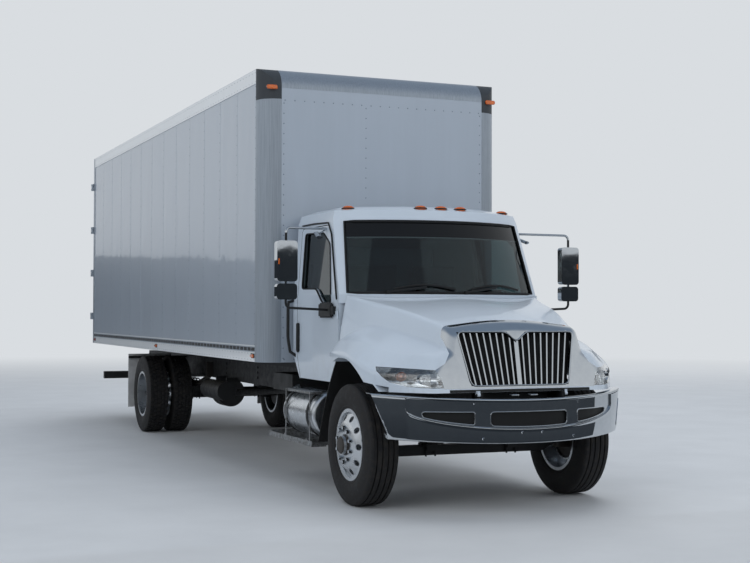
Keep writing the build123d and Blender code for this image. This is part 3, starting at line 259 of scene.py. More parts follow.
def sprayed_enamel(colours):
    """Two-pack enamel sprayed on the cab: glossy, with faint orange peel, road film low down, and a
    grey plastic lining on its inner skin."""
    paint = tuple(colours.paint)
    material, tree, shader, position = new_finish(
        "Sprayed enamel", {"Coat Weight": 0.6, "Coat Roughness": 0.04}
    )
    film = patches(tree, position, 60, (1, 1, 0.35), 6.0, 0.0, 0.28, 0.5, 0.8)
    low_down = within(tree, position, "Z", 1.35, 0.95)
    dirt = add_node(tree, "ShaderNodeMath", {0: film, 1: low_down}, operation="MULTIPLY").outputs[0]
    inside = inner_skin(tree, position, (0, FRONT_AXLE_Y + 1.15, 1.75))
    gloss = patches(tree, position, 300, low=0.30, high=0.34)
    fill(tree, shader, {
        "Base Color": layered(
            tree, shade_of(paint, 0.985), (patches(tree, position, 420), shade_of(paint, 1.015)),
            (dirt, linear("#8E8C86")), (inside, linear("#33363A")),
        ),
        "Roughness": add_node(tree, "ShaderNodeMath", {0: gloss, 1: inside}, operation="MAXIMUM").outputs[0],
    })
    pitted(tree, shader, position, 3.0, 0.3, 0.04)
    return material


def prepainted_sheet(name, skin, waves):
    """Prepainted aluminium sheet on the body's walls: its gloss bends over slight waves between the
    posts, and rain has left upright streaks."""
    material, tree, shader, position = new_finish(name, {"Coat Weight": 0.6, "Coat Roughness": 0.06})
    streak = patches(tree, position, 110, (1, 1, 0.05), 5.0, 0.0, 1.0, 0.35, 0.7)
    broad = patches(tree, position, 700, (1, 1, 0.5), 4.0, 0.0, 0.25)
    fill(tree, shader, {
        "Base Color": layered(
            tree, shade_of(skin, 0.975), (streak, shade_of(skin, 1.015)), (broad, shade_of(skin, 0.93))
        ),
        "Roughness": patches(tree, position, 110, (1, 1, 0.05), low=0.28, high=0.33),
    })
    pitted(tree, shader, position, 190, 9, waves, (1, 1, 0.28), 1.5)
    return material


def extruded_aluminium(colours):
    """Extruded aluminium with a clear anodised skin: drawn lines run along it."""
    edge, drawn = tuple(colours.edge), (1, 1, 0.02)
    return clouded(
        "Extruded aluminium", {"Metallic": 0.75}, shade_of(edge, 0.86), shade_of(edge, 1.08),
        dict(size_mm=9, stretch=drawn), dict(size_mm=40, low=0.32, high=0.44),
        dict(size_mm=9, depth_mm=0.5, strength=0.08, stretch=drawn),
    )


def plated_chrome():
    """Chrome plate over a pressed or moulded form: mirror bright, with a faint haze of road film."""
    return clouded(
        "Plated chrome", {"Metallic": 1.0}, linear("#C3C7CB"), linear("#C9CDD0"),
        dict(size_mm=60, detail=6.0), dict(size_mm=60, detail=6.0, low=0.03, high=0.07, start=0.5, end=0.8),
        dict(size_mm=240, depth_mm=3, strength=0.08, detail=1.0)
    )


def buffed_aluminium(name, clean, dusty, low, high):
    """Aluminium turned and buffed, or laid thinly on a moulding: bright, with a bloom of dust."""
    return clouded(
        name, {"Metallic": 1.0}, linear(clean), linear(dusty),
        dict(size_mm=90, detail=5.0, high=0.6, start=0.55, end=0.85), dict(size_mm=90, low=low, high=high),
        dict(size_mm=60, depth_mm=0.8, strength=0.05, stretch=(0.2, 1, 1)),
    )


def chassis_enamel():
    """Black chassis enamel: satin, with grey dust lying on its upper faces and in its pits."""
    material, tree, shader, position = new_finish("Chassis enamel", {})
    normal = add_node(tree, "ShaderNodeTexCoord").outputs["Normal"]
    dust = patches(tree, position, 70, detail=8.0, low=0.05, high=0.6)
    upward = within(tree, normal, "Z", 0.2, 1.0)
    laid = add_node(tree, "ShaderNodeMath", {0: dust, 1: upward}, operation="MULTIPLY").outputs[0]
    fill(tree, shader, {
        "Base Color": layered(tree, linear("#17181A"), (laid, linear("#5B574F"))),
        "Roughness": patches(tree, position, 70, low=0.38, high=0.62),
    })
    pitted(tree, shader, position, 7, 0.4, 0.15)
    return material


def cast_metal(name, colour, size_mm, metallic=0.0):
    """Sand-cast or hot-rolled metal: a pitted skin whose colour is painted lighter on high spots as a painted
    sheen, and darker in its pits.
    """
    # The colour's cloud and the pits' relief are one noise, so the high spots take a painted sheen.
    return clouded(
        name, {"Metallic": metallic}, shade_of(colour, 0.75), shade_of(colour, 1.2),
        dict(size_mm=size_mm, detail=6.0), dict(size_mm=size_mm, low=0.42, high=0.66),
        dict(size_mm=size_mm, depth_mm=0.6, strength=0.35, detail=6.0),
    )


def moulded_plastic(name, colour, size_mm=1.6, low=0.45, high=0.65):
    """Moulded plastic or rubber: an even pebbled texture that softens its highlights."""
    return clouded(
        name, {}, shade_of(colour, 0.85), shade_of(colour, 1.25), dict(size_mm=160),
        dict(size_mm=160, low=low, high=high), dict(size_mm=size_mm, depth_mm=0.25, strength=0.2, detail=2.0),
    )


def tyre_rubber(colours):
    """Carbon-black tyre rubber: dull, with brown road dust on it."""
    return clouded(
        "Tyre rubber", {"Specular IOR Level": 0.35}, tuple(colours.rubber), linear("#4A4640"),
        dict(size_mm=45, detail=8.0, high=0.5, start=0.45, end=0.8), dict(size_mm=45, low=0.55, high=0.85),
        dict(size_mm=3.5, depth_mm=0.4, strength=0.2),
    )


def tinted_glass():
    """Toughened glass with a green-grey tint, and the dark shade band along the windscreen's top."""
    material, tree, shader, position = new_finish(
        "Tinted glass", {"Roughness": 0.02, "Transmission Weight": 1.0, "IOR": 1.45}
    )
    centred = add_node(tree, "ShaderNodeVectorMath", {0: position}, operation="ABSOLUTE").outputs["Vector"]
    band = within(tree, position, "Z", 2.285, 2.300)
    for share in (
        within(tree, position, "Y", FRONT_AXLE_Y + 0.870, FRONT_AXLE_Y + 0.860),
        within(tree, centred, "X", 0.905, 0.900),
    ):
        band = add_node(tree, "ShaderNodeMath", {0: band, 1: share}, operation="MULTIPLY").outputs[0]
    clear = add_node(tree, "ShaderNodeMapRange", {"Value": band, "To Min": 1.0, "To Max": 0.0})
    fill(tree, shader, {
        "Base Color": layered(tree, linear("#73878A"), (band, linear("#050608"))),
        "Transmission Weight": clear.outputs["Result"],
    })
    return material


def lens_plastic(name, colour, transmission, prism_depth=0.6):
    """Moulded lens plastic: clear colour with fine prisms behind a polished face, banded darker and lighter
    over the prisms as painted shade and highlight.
    """
    polished = {"Roughness": 0.12, "Coat Weight": 1.0, "Coat Roughness": 0.03}
    # The prisms' bands are painted shade and painted highlight, through ribbed.
    return ribbed(
        name, {**polished, "Transmission Weight": transmission}, shade_of(colour, 0.82),
        shade_of(colour, 1.12), "Z", 12, 0.15, prism_depth
    )


def woven_cloth():
    """Woven seat cloth: crossing threads, drawn at twice their size so that they show, with painted shade
    between them and a painted highlight on them.
    """
    colour = linear("#2B2D31")
    # The threads' darker and lighter shades are painted shade and painted highlight.
    return ribbed(
        "Woven seat cloth", {"Roughness": 0.92, "Sheen Weight": 0.3}, shade_of(colour, 0.7),
        shade_of(colour, 1.3), "XZ", 2.4, 0.4, 0.5,
    )


def oiled_hardwood():
    """Laminated hardwood floor boards, oiled: grain runs along the body, with dark joints between boards,
    and black undercoat on the sides and underneath."""
    material, tree, shader, position = new_finish("Oiled hardwood", {"Roughness": 0.55})
    board_mm, grain = 60, (1, 0.04, 1)
    across = add_node(tree, "ShaderNodeSeparateXYZ", {0: position}).outputs["X"]
    folded = add_node(tree, "ShaderNodeMath", {0: across, 1: board_mm * MM}, operation="PINGPONG").outputs[0]
    joint = add_node(
        tree, "ShaderNodeMapRange", {"Value": folded, "From Max": 1.5 * MM, "To Min": 0.85, "To Max": 0.0}
    ).outputs["Result"]
    normal = add_node(tree, "ShaderNodeTexCoord").outputs["Normal"]
    fill(tree, shader, {"Base Color": layered(
        tree, linear("#7A5530"), (patches(tree, position, 14, grain, 6.0), linear("#A47B4C")),
        (joint, linear("#2C2118")), (within(tree, normal, "Z", 0.6, 0.5), linear("#141414")),
    )})
    pitted(tree, shader, position, 14, 0.5, 0.2, grain, 6.0)
    return material


def step_tread():
    """Extruded step tread: bright aluminium with punched grip and dirt trodden into it."""
    material = clouded(
        "Step tread aluminium", {"Metallic": 0.8}, linear("#A6A9AC"), linear("#55524C"),
        dict(size_mm=30, detail=6.0, high=0.9), dict(size_mm=30, low=0.30, high=0.55),
    )
    tree = material.node_tree
    position = add_node(tree, "ShaderNodeTexCoord").outputs["Object"]
    punched = add_node(
        tree, "ShaderNodeTexVoronoi", {"Vector": position, "Scale": 1000 / 16, "Randomness": 0.15}
    ).outputs["Distance"]
    embossed(tree, tree.nodes["Principled BSDF"], punched, 0.5, 2, invert=True)
    return material


def cooling_fins():
    """Radiator core: thin folded fins between flat tubes, dull with dust, painted near black between the fins
    as painted shade.
    """
    # The near black valleys are painted shade between the fins.
    return ribbed(
        "Radiator fins", {"Metallic": 0.6, "Roughness": 0.55}, linear("#141516"), linear("#3C3E40"), "Z", 6,
        0.6, 2
    )


def silvered_glass():
    """Silvered mirror glass: a flat bright reflection, with a breath of dust."""
    return clouded(
        "Silvered mirror glass", {"Metallic": 1.0}, linear("#D9DEE0"), linear("#E4E8EA"),
        dict(size_mm=50), dict(size_mm=50, low=0.01, high=0.05),
    )


def make_finishes(colours):
    """Every finish by the name of the record's slot it stands for."""
    return {
        "cab_paint": sprayed_enamel(colours),
        "box_skin": prepainted_sheet("Prepainted sheet", tuple(colours.skin), 0.22),
        "rail": prepainted_sheet("Prepainted rail", tuple(colours.rail), 0.05),
        "roof_aluminium": extruded_aluminium(colours),
        "casting_grey": cast_metal("Painted aluminium casting", tuple(colours.casting), 9.0),
        "chrome": plated_chrome(),
        "polished_aluminium": buffed_aluminium("Buffed aluminium", "#D3D6D9", "#A9A7A2", 0.24, 0.36),
        "tread_aluminium": step_tread(), "chassis_steel": chassis_enamel(),
        "spring_steel": cast_metal("Rolled spring steel", linear("#2A2724"), 12.0),
        "engine_iron": cast_metal("Painted iron casting", linear("#3B3E42"), 6.0),
        "cast_iron": cast_metal("Cast iron", linear("#34302C"), 4.0),
        "exhaust_steel": cast_metal("Aluminised steel", linear("#6E6A64"), 14.0, 0.7),
        "radiator_core": cooling_fins(),
        "black_plastic": moulded_plastic("Moulded black plastic", linear("#151617")),
        "grey_plastic": moulded_plastic("Moulded grey plastic", linear("#36393D")),
        "black_rubber": moulded_plastic("Extruded rubber", linear("#131314"), 3.0, 0.55, 0.75),
        "grey_rubber": moulded_plastic("Reinforced flap rubber", tuple(colours.flap), 5.0, 0.6, 0.85),
        "window_glass": tinted_glass(), "seat_fabric": woven_cloth(),
        "amber_lens": lens_plastic("Amber acrylic", tuple(colours.amber), 0.25),
        "red_lens": lens_plastic("Red acrylic", tuple(colours.red), 0.25),
        "lamp_lens": lens_plastic("Clear polycarbonate", linear("#F2F5F6"), 1.0, 0.05),
        "reflector": buffed_aluminium("Aluminised reflector", "#C2C7CB", "#AEB3B7", 0.10, 0.20),
        # Rivets are the colour of the sheet; this darker grey is painted shade round their heads.
        "rivet": cast_metal("Aluminium rivet", linear("#76818D"), 4.0, 0.3), "tyre": tyre_rubber(colours),
        "hardwood": oiled_hardwood(), "mirror_glass": silvered_glass()
    }


# Mesh helpers


# Finishes and node trees by name, and the finishes that count under another slot or under none
finishes, trees = {}, {}


def place_mesh(name, mesh, body, finish, *nodes):
    """Links a mesh as a piece that rides on a body, gives it its finish, and hides the nodes that it stands
    for.
    """
    piece = bpy.data.objects.new(name, mesh)
    bpy.context.scene.collection.objects.link(piece)
    mesh.materials.clear()
    mesh.materials.append(finishes[finish])
    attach(piece, body)
    if nodes:
        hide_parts(*nodes)
    return piece


def smooth_by_angle(form, degrees):
    """Shades faces smooth and keeps the edges that turn by more than an angle."""
    limit = math.radians(degrees)
    for face in form.faces:
        face.smooth = True
    for edge in form.edges:
        edge.smooth = len(edge.link_faces) == 2 and edge.calc_face_angle(0.0) < limit


def piece_from(name, form, body, finish, *nodes, angle=35):
    """Turns a bmesh into a riding piece with outward faces."""
    bmesh.ops.remove_doubles(form, verts=form.verts, dist=1e-6)
    bmesh.ops.recalc_face_normals(form, faces=form.faces)
    smooth_by_angle(form, angle)
    mesh = bpy.data.meshes.new(name)
    form.to_mesh(mesh)
    form.free()
    return place_mesh(name, mesh, body, finish, *nodes)


def add_box(form, low, high, bevel=0.0, segments=2):
    """Adds a box between two corners, its edges rounded if a bevel is given."""
    low, high = Vector(map(min, low, high)), Vector(map(max, low, high))
    size = high - low
    made = bmesh.ops.create_cube(
        form, size=1.0, matrix=Matrix.Translation((low + high) / 2) @ Matrix.Diagonal((*size, 1.0))
    )
    if bevel:
        edges = {edge for vertex in made["verts"] for edge in vertex.link_edges}
        bmesh.ops.bevel(
            form, geom=list(edges), offset=min(bevel, min(size) * 0.45), segments=segments, affect="EDGES"
        )


def join_rings(form, rings, closed=False):
    """Joins rings of vertices by a wall, and caps its ends unless it runs round to its start."""
    sides = len(rings[0])
    for low, high in zip(rings, rings[1:] + rings[:1] if closed else rings[1:]):
        for k in range(sides):
            form.faces.new((low[k], low[(k + 1) % sides], high[(k + 1) % sides], high[k]))
    if not closed:
        form.faces.new(rings[0])
        form.faces.new(rings[-1][::-1])


def add_sweep(form, path, section, closed=False, up=Vector((0, 0, 1))):
    """Sweeps a section, given as offsets, along a path, and caps its ends."""
    points = [Vector(p) for p in path]
    count = len(points)
    rings = []
    hint = up
    for i, point in enumerate(points):
        before = points[i - 1] if closed or i else point
        after = points[(i + 1) % count] if closed or i < count - 1 else point
        direction = (after - before).normalized()
        if abs(direction.dot(hint)) > 0.98:
            hint = Vector((direction.z, direction.x, direction.y))
        first = (hint - direction * hint.dot(direction)).normalized()
        second = direction.cross(first)
        rings.append([form.verts.new(point + first * u + second * v) for u, v in section])
    join_rings(form, rings, closed)


def swept(name, paths, section, body, finish, closed=False, up=Vector((0, 0, 1)), angle=50):
    """A piece made by sweeping one section along each of some paths."""
    form = bmesh.new()
    for path in paths:
        add_sweep(form, path, section, closed, up)
    return piece_from(name, form, body, finish, angle=angle)


def round_section(radius, sides=8, flat=1.0):
    """A round or flattened section for a sweep."""
    turns = [2 * math.pi * i / sides for i in range(sides)]
    return [(radius * math.cos(t), radius * flat * math.sin(t)) for t in turns]


def rounded_loop(corners, radius, steps=4):
    """A closed 2-D outline with each corner taken round by an arc-like curve."""
    loop = []
    count = len(corners)
    for i, corner in enumerate(corners):
        here = Vector(corner)
        for other, ends in ((Vector(corners[i - 1]), 0), (Vector(corners[(i + 1) % count]), 1)):
            reach = min(radius, (other - here).length * 0.45)
            if ends == 0:
                start = here + (other - here).normalized() * reach
            else:
                end = here + (other - here).normalized() * reach
        for step in range(steps + 1):
            t = step / steps
            loop.append(start * (1 - t) ** 2 + here * 2 * t * (1 - t) + end * t ** 2)
    return loop


def turned(name, profiles, axle_y, sign, segments, body, finish, *nodes, angle=35):
    """A piece made by turning closed outlines, of distance out from the truck's middle and of radius, about
    a wheel's axle."""
    form = bmesh.new()
    turns = [2 * math.pi * i / segments for i in range(segments)]
    for profile in profiles:
        rings = [
            [form.verts.new((sign * x, axle_y + radius * math.cos(turn), AXLE_Z + radius * math.sin(turn)))
             for x, radius in profile] for turn in turns
        ]
        join_rings(form, rings, closed=True)
    return piece_from(name, form, body, finish, *nodes, angle=angle)


def add_dish(form, centre, axis, half_wide, half_high, depth):
    """A lamp's reflector: an oval bowl that opens along an axis, with a wall and a rim."""
    across = axis.cross(Vector((0, 0, 1))).normalized()
    upward = across.cross(axis)
    wall = 0.003
    sides = 32
    turns = [2 * math.pi * i / sides for i in range(sides)]
    inner = [(share, depth * share * share) for share in (0.06, 0.25, 0.45, 0.65, 0.82, 1.0)]
    outer = [(share + 0.05, rise - wall) for share, rise in inner[::-1]]
    rings = []
    for share, rise in inner + outer:
        rings.append([
            form.verts.new(
                centre + axis * (rise - depth)
                + across * half_wide * share * math.cos(turn)
                + upward * half_high * share * math.sin(turn)
            ) for turn in turns
        ])
    join_rings(form, rings)


def merged_form(node):
    """A CAD node's triangles with their doubles merged, ready to change."""
    form = bmesh.new()
    form.from_mesh(frame["nodes"][node].data)
    bmesh.ops.remove_doubles(form, verts=form.verts, dist=2e-5)
    bmesh.ops.dissolve_degenerate(form, edges=form.edges, dist=1e-5)
    return form


def smooth_copy(node, body, finish, bevel=0.0, angle=32):
    """A stand-in for a CAD node with its doubles merged, so that curved faces shade smoothly."""
    form = merged_form(node)
    smooth_by_angle(form, angle)
    mesh = bpy.data.meshes.new(node + "_skin")
    form.to_mesh(mesh)
    form.free()
    piece = place_mesh(node + "_skin", mesh, body, finish, node)
    if bevel:
        edges = piece.modifiers.new("Worn edges", "BEVEL")
        edges.width = bevel
        edges.segments = 2
        edges.limit_method = "ANGLE"
        edges.angle_limit = math.radians(angle)
    return piece


# Geometry node trees


def tree_with(name, sockets):
    """A geometry tree with named inputs, given as name, type and default, and one geometry output."""
    tree = bpy.data.node_groups.new(name, "GeometryNodeTree")
    tree.interface.new_socket("Geometry", in_out="INPUT", socket_type="NodeSocketGeometry")
    for label, kind, default in sockets:
        socket = tree.interface.new_socket(label, in_out="INPUT", socket_type=kind)
        if default is not None:
            socket.default_value = default
    tree.interface.new_socket("Geometry", in_out="OUTPUT", socket_type="NodeSocketGeometry")
    return tree, add_node(tree, "NodeGroupInput")


def finish_tree(tree, given, points, instance, rotation, scale=None):
    """Ends a tree: instances on the points, realized, with the finish set."""
    inputs = {"Points": points, "Instance": instance, "Rotation": rotation}
    if scale is not None:
        inputs["Scale"] = scale
    placed = add_node(tree, "GeometryNodeInstanceOnPoints", inputs)
    real = add_node(tree, "GeometryNodeRealizeInstances", {0: placed.outputs[0]})
    dressed = add_node(
        tree, "GeometryNodeSetMaterial", {"Geometry": real.outputs[0], "Material": given.outputs["Finish"]}
    )
    add_node(tree, "NodeGroupOutput", {0: dressed.outputs[0]})


def fastener_tree():
    """Heads on points: a rivet's dome, a bolt's hexagon or a nut, standing along each point's facing."""
    tree, given = tree_with("Fasteners on points", (
        ("Head radius", "NodeSocketFloat", 0.006), ("Head height", "NodeSocketFloat", 0.003),
        ("Top radius", "NodeSocketFloat", 0.003), ("Sides", "NodeSocketInt", 8),
        ("Finish", "NodeSocketMaterial", None),
    ))
    facing = add_node(
        tree, "GeometryNodeInputNamedAttribute", {"Name": "facing"}, data_type="FLOAT_VECTOR"
    ).outputs["Attribute"]
    turn = add_node(tree, "FunctionNodeAlignRotationToVector", {"Vector": facing}, axis="Z").outputs[0]
    head = add_node(tree, "GeometryNodeMeshCone", {
        "Vertices": given.outputs["Sides"], "Radius Bottom": given.outputs["Head radius"],
        "Radius Top": given.outputs["Top radius"], "Depth": given.outputs["Head height"],
    }).outputs["Mesh"]
    finish_tree(tree, given, given.outputs["Geometry"], head, turn)
    return tree


def block_tree():
    """Blocks on points: tread lugs or slots, each with its own size, facing and run."""
    tree, given = tree_with("Blocks on points", (("Finish", "NodeSocketMaterial", None),))
    facing, along, size = (
        add_node(tree, "GeometryNodeInputNamedAttribute", {"Name": name}, data_type="FLOAT_VECTOR")
        .outputs["Attribute"] for name in ("facing", "along", "size")
    )
    turn = add_node(
        tree, "FunctionNodeAxesToRotation", {0: facing, 1: along}, primary_axis="Z", secondary_axis="X"
    ).outputs[0]
    cube = add_node(tree, "GeometryNodeMeshCube", {"Size": (1, 1, 1)}).outputs["Mesh"]
    finish_tree(tree, given, given.outputs["Geometry"], cube, turn, size)
    return tree


def head_shape(radius, top, height, sides):
    """The inputs for a fastener's head: its radius at the foot and at the top, height and sides."""
    return {"Head radius": radius, "Top radius": top, "Head height": height, "Sides": sides}


def scatter(name, kind, spots, body, finish, **values):
    """Runs a tree on spots, each a place with its vectors by attribute name, and keeps a plain mesh."""
    mesh = bpy.data.meshes.new(name)
    mesh.from_pydata([place for place, _ in spots], [], [])
    for label in spots[0][1]:
        layer = mesh.attributes.new(label, "FLOAT_VECTOR", "POINT")
        layer.data.foreach_set("vector", [c for _, vectors in spots for c in vectors[label]])
    carrier = bpy.data.objects.new(name, mesh)
    bpy.context.scene.collection.objects.link(carrier)
    made = carrier.modifiers.new("Made", "NODES")
    made.node_group = trees[kind]
    values["Finish"] = finishes[finish]
    for item in trees[kind].interface.items_tree:
        if item.in_out == "INPUT" and item.name in values:
            made[item.identifier] = values[item.name]
    bpy.context.view_layer.update()
    evaluated = carrier.evaluated_get(bpy.context.evaluated_depsgraph_get())
    result = bpy.data.meshes.new_from_object(evaluated)
    bpy.data.objects.remove(carrier)
    for layer in list(result.attributes):
        if layer.name in ("facing", "along", "size"):
            result.attributes.remove(layer)
    result.name = name
    return place_mesh(name, result, body, finish)


def evenly(start, end, pitch):
    """Points from start to end, at the whole number of steps nearest to a pitch."""
    start, end = Vector(start), Vector(end)
    count = max(1, round((end - start).length / pitch))
    return [start.lerp(end, i / count) for i in range(count + 1)]


def heads(points, facing):
    """Spots for fasteners that all face one way."""
    return [(point, {"facing": facing}) for point in points]


def bolt_circle(centre, radius, count, sign, start=0.0):
    """Spots for bolts in a circle on a wheel's outer face."""
    turns = [start + 2 * math.pi * i / count for i in range(count)]
    return [
        (Vector(centre) + Vector((0, radius * math.cos(t), radius * math.sin(t))), {"facing": (sign, 0, 0)})
        for t in turns
    ]


# Surfaces of the cab that trim follows


def screen_point(x, z, out=0.0):
    """A point on the windscreen's bowed and leaning face."""
    share = (z - COWL_TOP) / (ROOF_EDGE - COWL_TOP)
    corner = 0.560 + share * 0.280
    centre = 0.240 + share * 0.230
    half = SCREEN_HALF + share * (ROOF_HALF - SCREEN_HALF)
    radius = (half ** 2 + (corner - centre) ** 2) / (2 * (corner - centre))
    y = centre + radius - math.sqrt(radius ** 2 - x ** 2)
    return Vector((x, FRONT_AXLE_Y + y - out, z))


def cab_side_point(y, z, hand, out=0.0):
    """A point on the cab's side, given behind the front axle."""
    share = max(0.0, (z - COWL_TOP) / (ROOF_EDGE - COWL_TOP))
    half = (CAB_HALF if z < COWL_TOP else SCREEN_HALF) + share * (ROOF_HALF - SCREEN_HALF)
    return Vector((hand * (half + out), FRONT_AXLE_Y + y, z))


class Piece:
    """What every operator that makes pieces shares."""
    bl_options = {"REGISTER", "UNDO"}


def prepare(scene):
    """Makes the finishes and the node trees, once."""
    if not finishes:
        finishes.update(make_finishes(scene.truck_colours))
        trees.update(fasteners=fastener_tree(), blocks=block_tree())


# Nodes whose curved faces are shown by a smooth copy: node, body, finish, worn edge in metres
SMOOTHED = (
    ("cab_shell", "chassis", "cab_paint", 0.004), ("hood_shell", "hood", "cab_paint", 0.003),
    ("cab_door_right", "cab_door_right", "cab_paint", 0.002),
    ("cab_door_left", "cab_door_left", "cab_paint", 0.002), ("grille", "hood", "chrome", 0.002),
    ("box_nose", "chassis", "box_skin", 0.0), ("corner_castings", "chassis", "casting_grey", 0.004),
    ("fuel_tank", "chassis", "polished_aluminium", 0.0), ("mirror_right", "cab_door_right", "chrome", 0.008),
    ("mirror_left", "cab_door_left", "chrome", 0.008),
    ("front_rim_right", "front_wheel_right", "polished_aluminium", 0.0),
    ("front_rim_left", "front_wheel_left", "polished_aluminium", 0.0),
    ("rear_rims_right", "rear_wheels_right", "polished_aluminium", 0.0),
    ("rear_rims_left", "rear_wheels_left", "polished_aluminium", 0.0),
    ("knuckle_right", "knuckle_right", "cast_iron", 0.0), ("knuckle_left", "knuckle_left", "cast_iron", 0.0),
    ("front_axle", "chassis", "chassis_steel", 0.003), ("rear_axle", "chassis", "chassis_steel", 0.003),
    ("driveline", "chassis", "chassis_steel", 0.002), ("exhaust", "chassis", "exhaust_steel", 0.0),
    ("air_tanks", "chassis", "chassis_steel", 0.0),
    ("steering_wheel", "steering_wheel", "black_plastic", 0.0),
    ("dashboard", "chassis", "grey_plastic", 0.008), ("splash_panels", "chassis", "black_rubber", 0.0)
)


class TRUCK_OT_finishes(Piece, bpy.types.Operator):
    """Gives every solid the finish of its slot"""
    bl_idname = "truck.finishes"
    bl_label = "Finish the solids"

    def execute(self, context):
        prepare(context.scene)
        for row in frame["record"]["subparts"]:
            mesh = frame["nodes"][row["node"]].data
            mesh.materials.clear()
            mesh.materials.append(finishes[row["material_slot"]])
        return {"FINISHED"}


class TRUCK_OT_smooth_forms(Piece, bpy.types.Operator):
    """Shows the solids with curved faces by smooth copies"""
    bl_idname = "truck.smooth_forms"
    bl_label = "Smooth the curved forms"

    def execute(self, context):
        prepare(context.scene)
        for node, body, finish, worn in SMOOTHED:
            smooth_copy(node, body, finish, worn)
        # Faces low on the hood's front, its hinge ears among them, take black plastic as painted shade.
        hood = bpy.data.objects["hood_shell_skin"].data
        hood.materials.append(finishes["black_plastic"])
        painted_shade_top, painted_shade_half = 0.955, 0.62
        for face in hood.polygons:
            face.material_index = int(face.center.z < painted_shade_top and abs(face.center.x) < painted_shade_half)
        head_x, head_low, head_high, arms_top = 1.34, 1.725, 2.255, 2.3
        for _, word in HANDS:
            mirror = bpy.data.objects["mirror_" + word + "_skin"].data
            mirror.materials.append(finishes["black_plastic"])
            for face in mirror.polygons:
                on_head = abs(face.center.x) > head_x and head_low < face.center.z < head_high
                face.material_index = int(not on_head and face.center.z < arms_top)
        return {"FINISHED"}


def tyre_profile(depth):
    """A tyre's section from its middle outwards: ribs and grooves, shoulder, wall and bead."""
    groove = 0.006
    half = [(0.0, TYRE_RADIUS)]
    for x in (0.026, 0.072):
        top = TYRE_RADIUS - 0.0008 * (x / 0.026)
        half += [(x - groove, top), (x - groove * 0.6, top - depth), (x + groove * 0.6, top - depth),
                 (x + groove, top)]
    half += [
        (0.104, 0.5065), (0.113, 0.501), (0.120, 0.492), (0.1235, 0.478), (0.125, 0.470), (0.131, 0.452),
        (0.1365, 0.430), (0.1395, 0.405), (0.1400, 0.392), (0.1385, 0.368), (0.1335, 0.340), (0.1290, 0.330),
        (0.1300, 0.322), (0.1220, 0.306), (0.1130, 0.296), (0.1060, 0.2885),
    ]
    inner = [(0.088, 0.2885), (0.110, 0.330), (0.118, 0.395), (0.096, 0.468), (0.050, 0.480)]
    outer = [(-x, r) for x, r in half[:0:-1]] + half
    return outer + inner + [(-x, r) for x, r in inner[::-1]]


class TRUCK_OT_tyres(Piece, bpy.types.Operator):
    """Ribbed steer tyres, and twin drive tyres with lugs"""
    bl_idname = "truck.tyres"
    bl_label = "Tyres"

    def lug_spots(self, centres, sign, depth):
        """Spots for the drive tyres' lugs, in rows that step round the tread."""
        spots = []
        rows = ((-0.094, 0.030, 0.0), (-0.049, 0.030, 0.5), (0.0, 0.036, 0.25), (0.049, 0.030, 0.5),
                (0.094, 0.030, 0.0))
        pitches, lug_length = 54, 0.0405
        for centre in centres:
            for x, width, shift in rows:
                for i in range(pitches):
                    turn = 2 * math.pi * (i + shift) / pitches
                    outward = Vector((0, math.cos(turn), math.sin(turn)))
                    around = Vector((0, -math.sin(turn), math.cos(turn)))
                    drop = 0.0006 + 0.25 * x * x
                    radius = AXLE_Z - depth / 2 - drop
                    place = Vector((sign * (centre + x), REAR_AXLE_Y, AXLE_Z)) + outward * radius
                    size = (lug_length, width, depth)
                    spots.append((place, {"facing": outward, "along": around, "size": size}))
        return spots

    def execute(self, context):
        prepare(context.scene)
        depth = context.scene.truck_sizes.tread_depth
        for sign, word in HANDS:
            steer = [(FRONT_CENTRE_X + x, r) for x, r in tyre_profile(depth)]
            turned(
                "front_tyre_casing_" + word, [steer], FRONT_AXLE_Y, sign, 128, "front_wheel_" + word, "tyre",
                "front_tyre_" + word, angle=28
            )
            plain, centres = tyre_profile(0.0), (REAR_CENTRE_X - DUAL_OFFSET, REAR_CENTRE_X + DUAL_OFFSET)
            drive = [
                [(centre + x, min(r, AXLE_Z - depth) if abs(x) < TREAD_HALF else r) for x, r in plain]
                for centre in centres
            ]
            turned("rear_tyre_casings_" + word, drive, REAR_AXLE_Y, sign, 96, "rear_wheels_" + word, "tyre",
                   "rear_tyres_" + word, angle=28)
            scatter("rear_tread_lugs_" + word, "blocks",
                    self.lug_spots(centres, sign, depth), "rear_wheels_" + word,
                    "tyre")
        return {"FINISHED"}


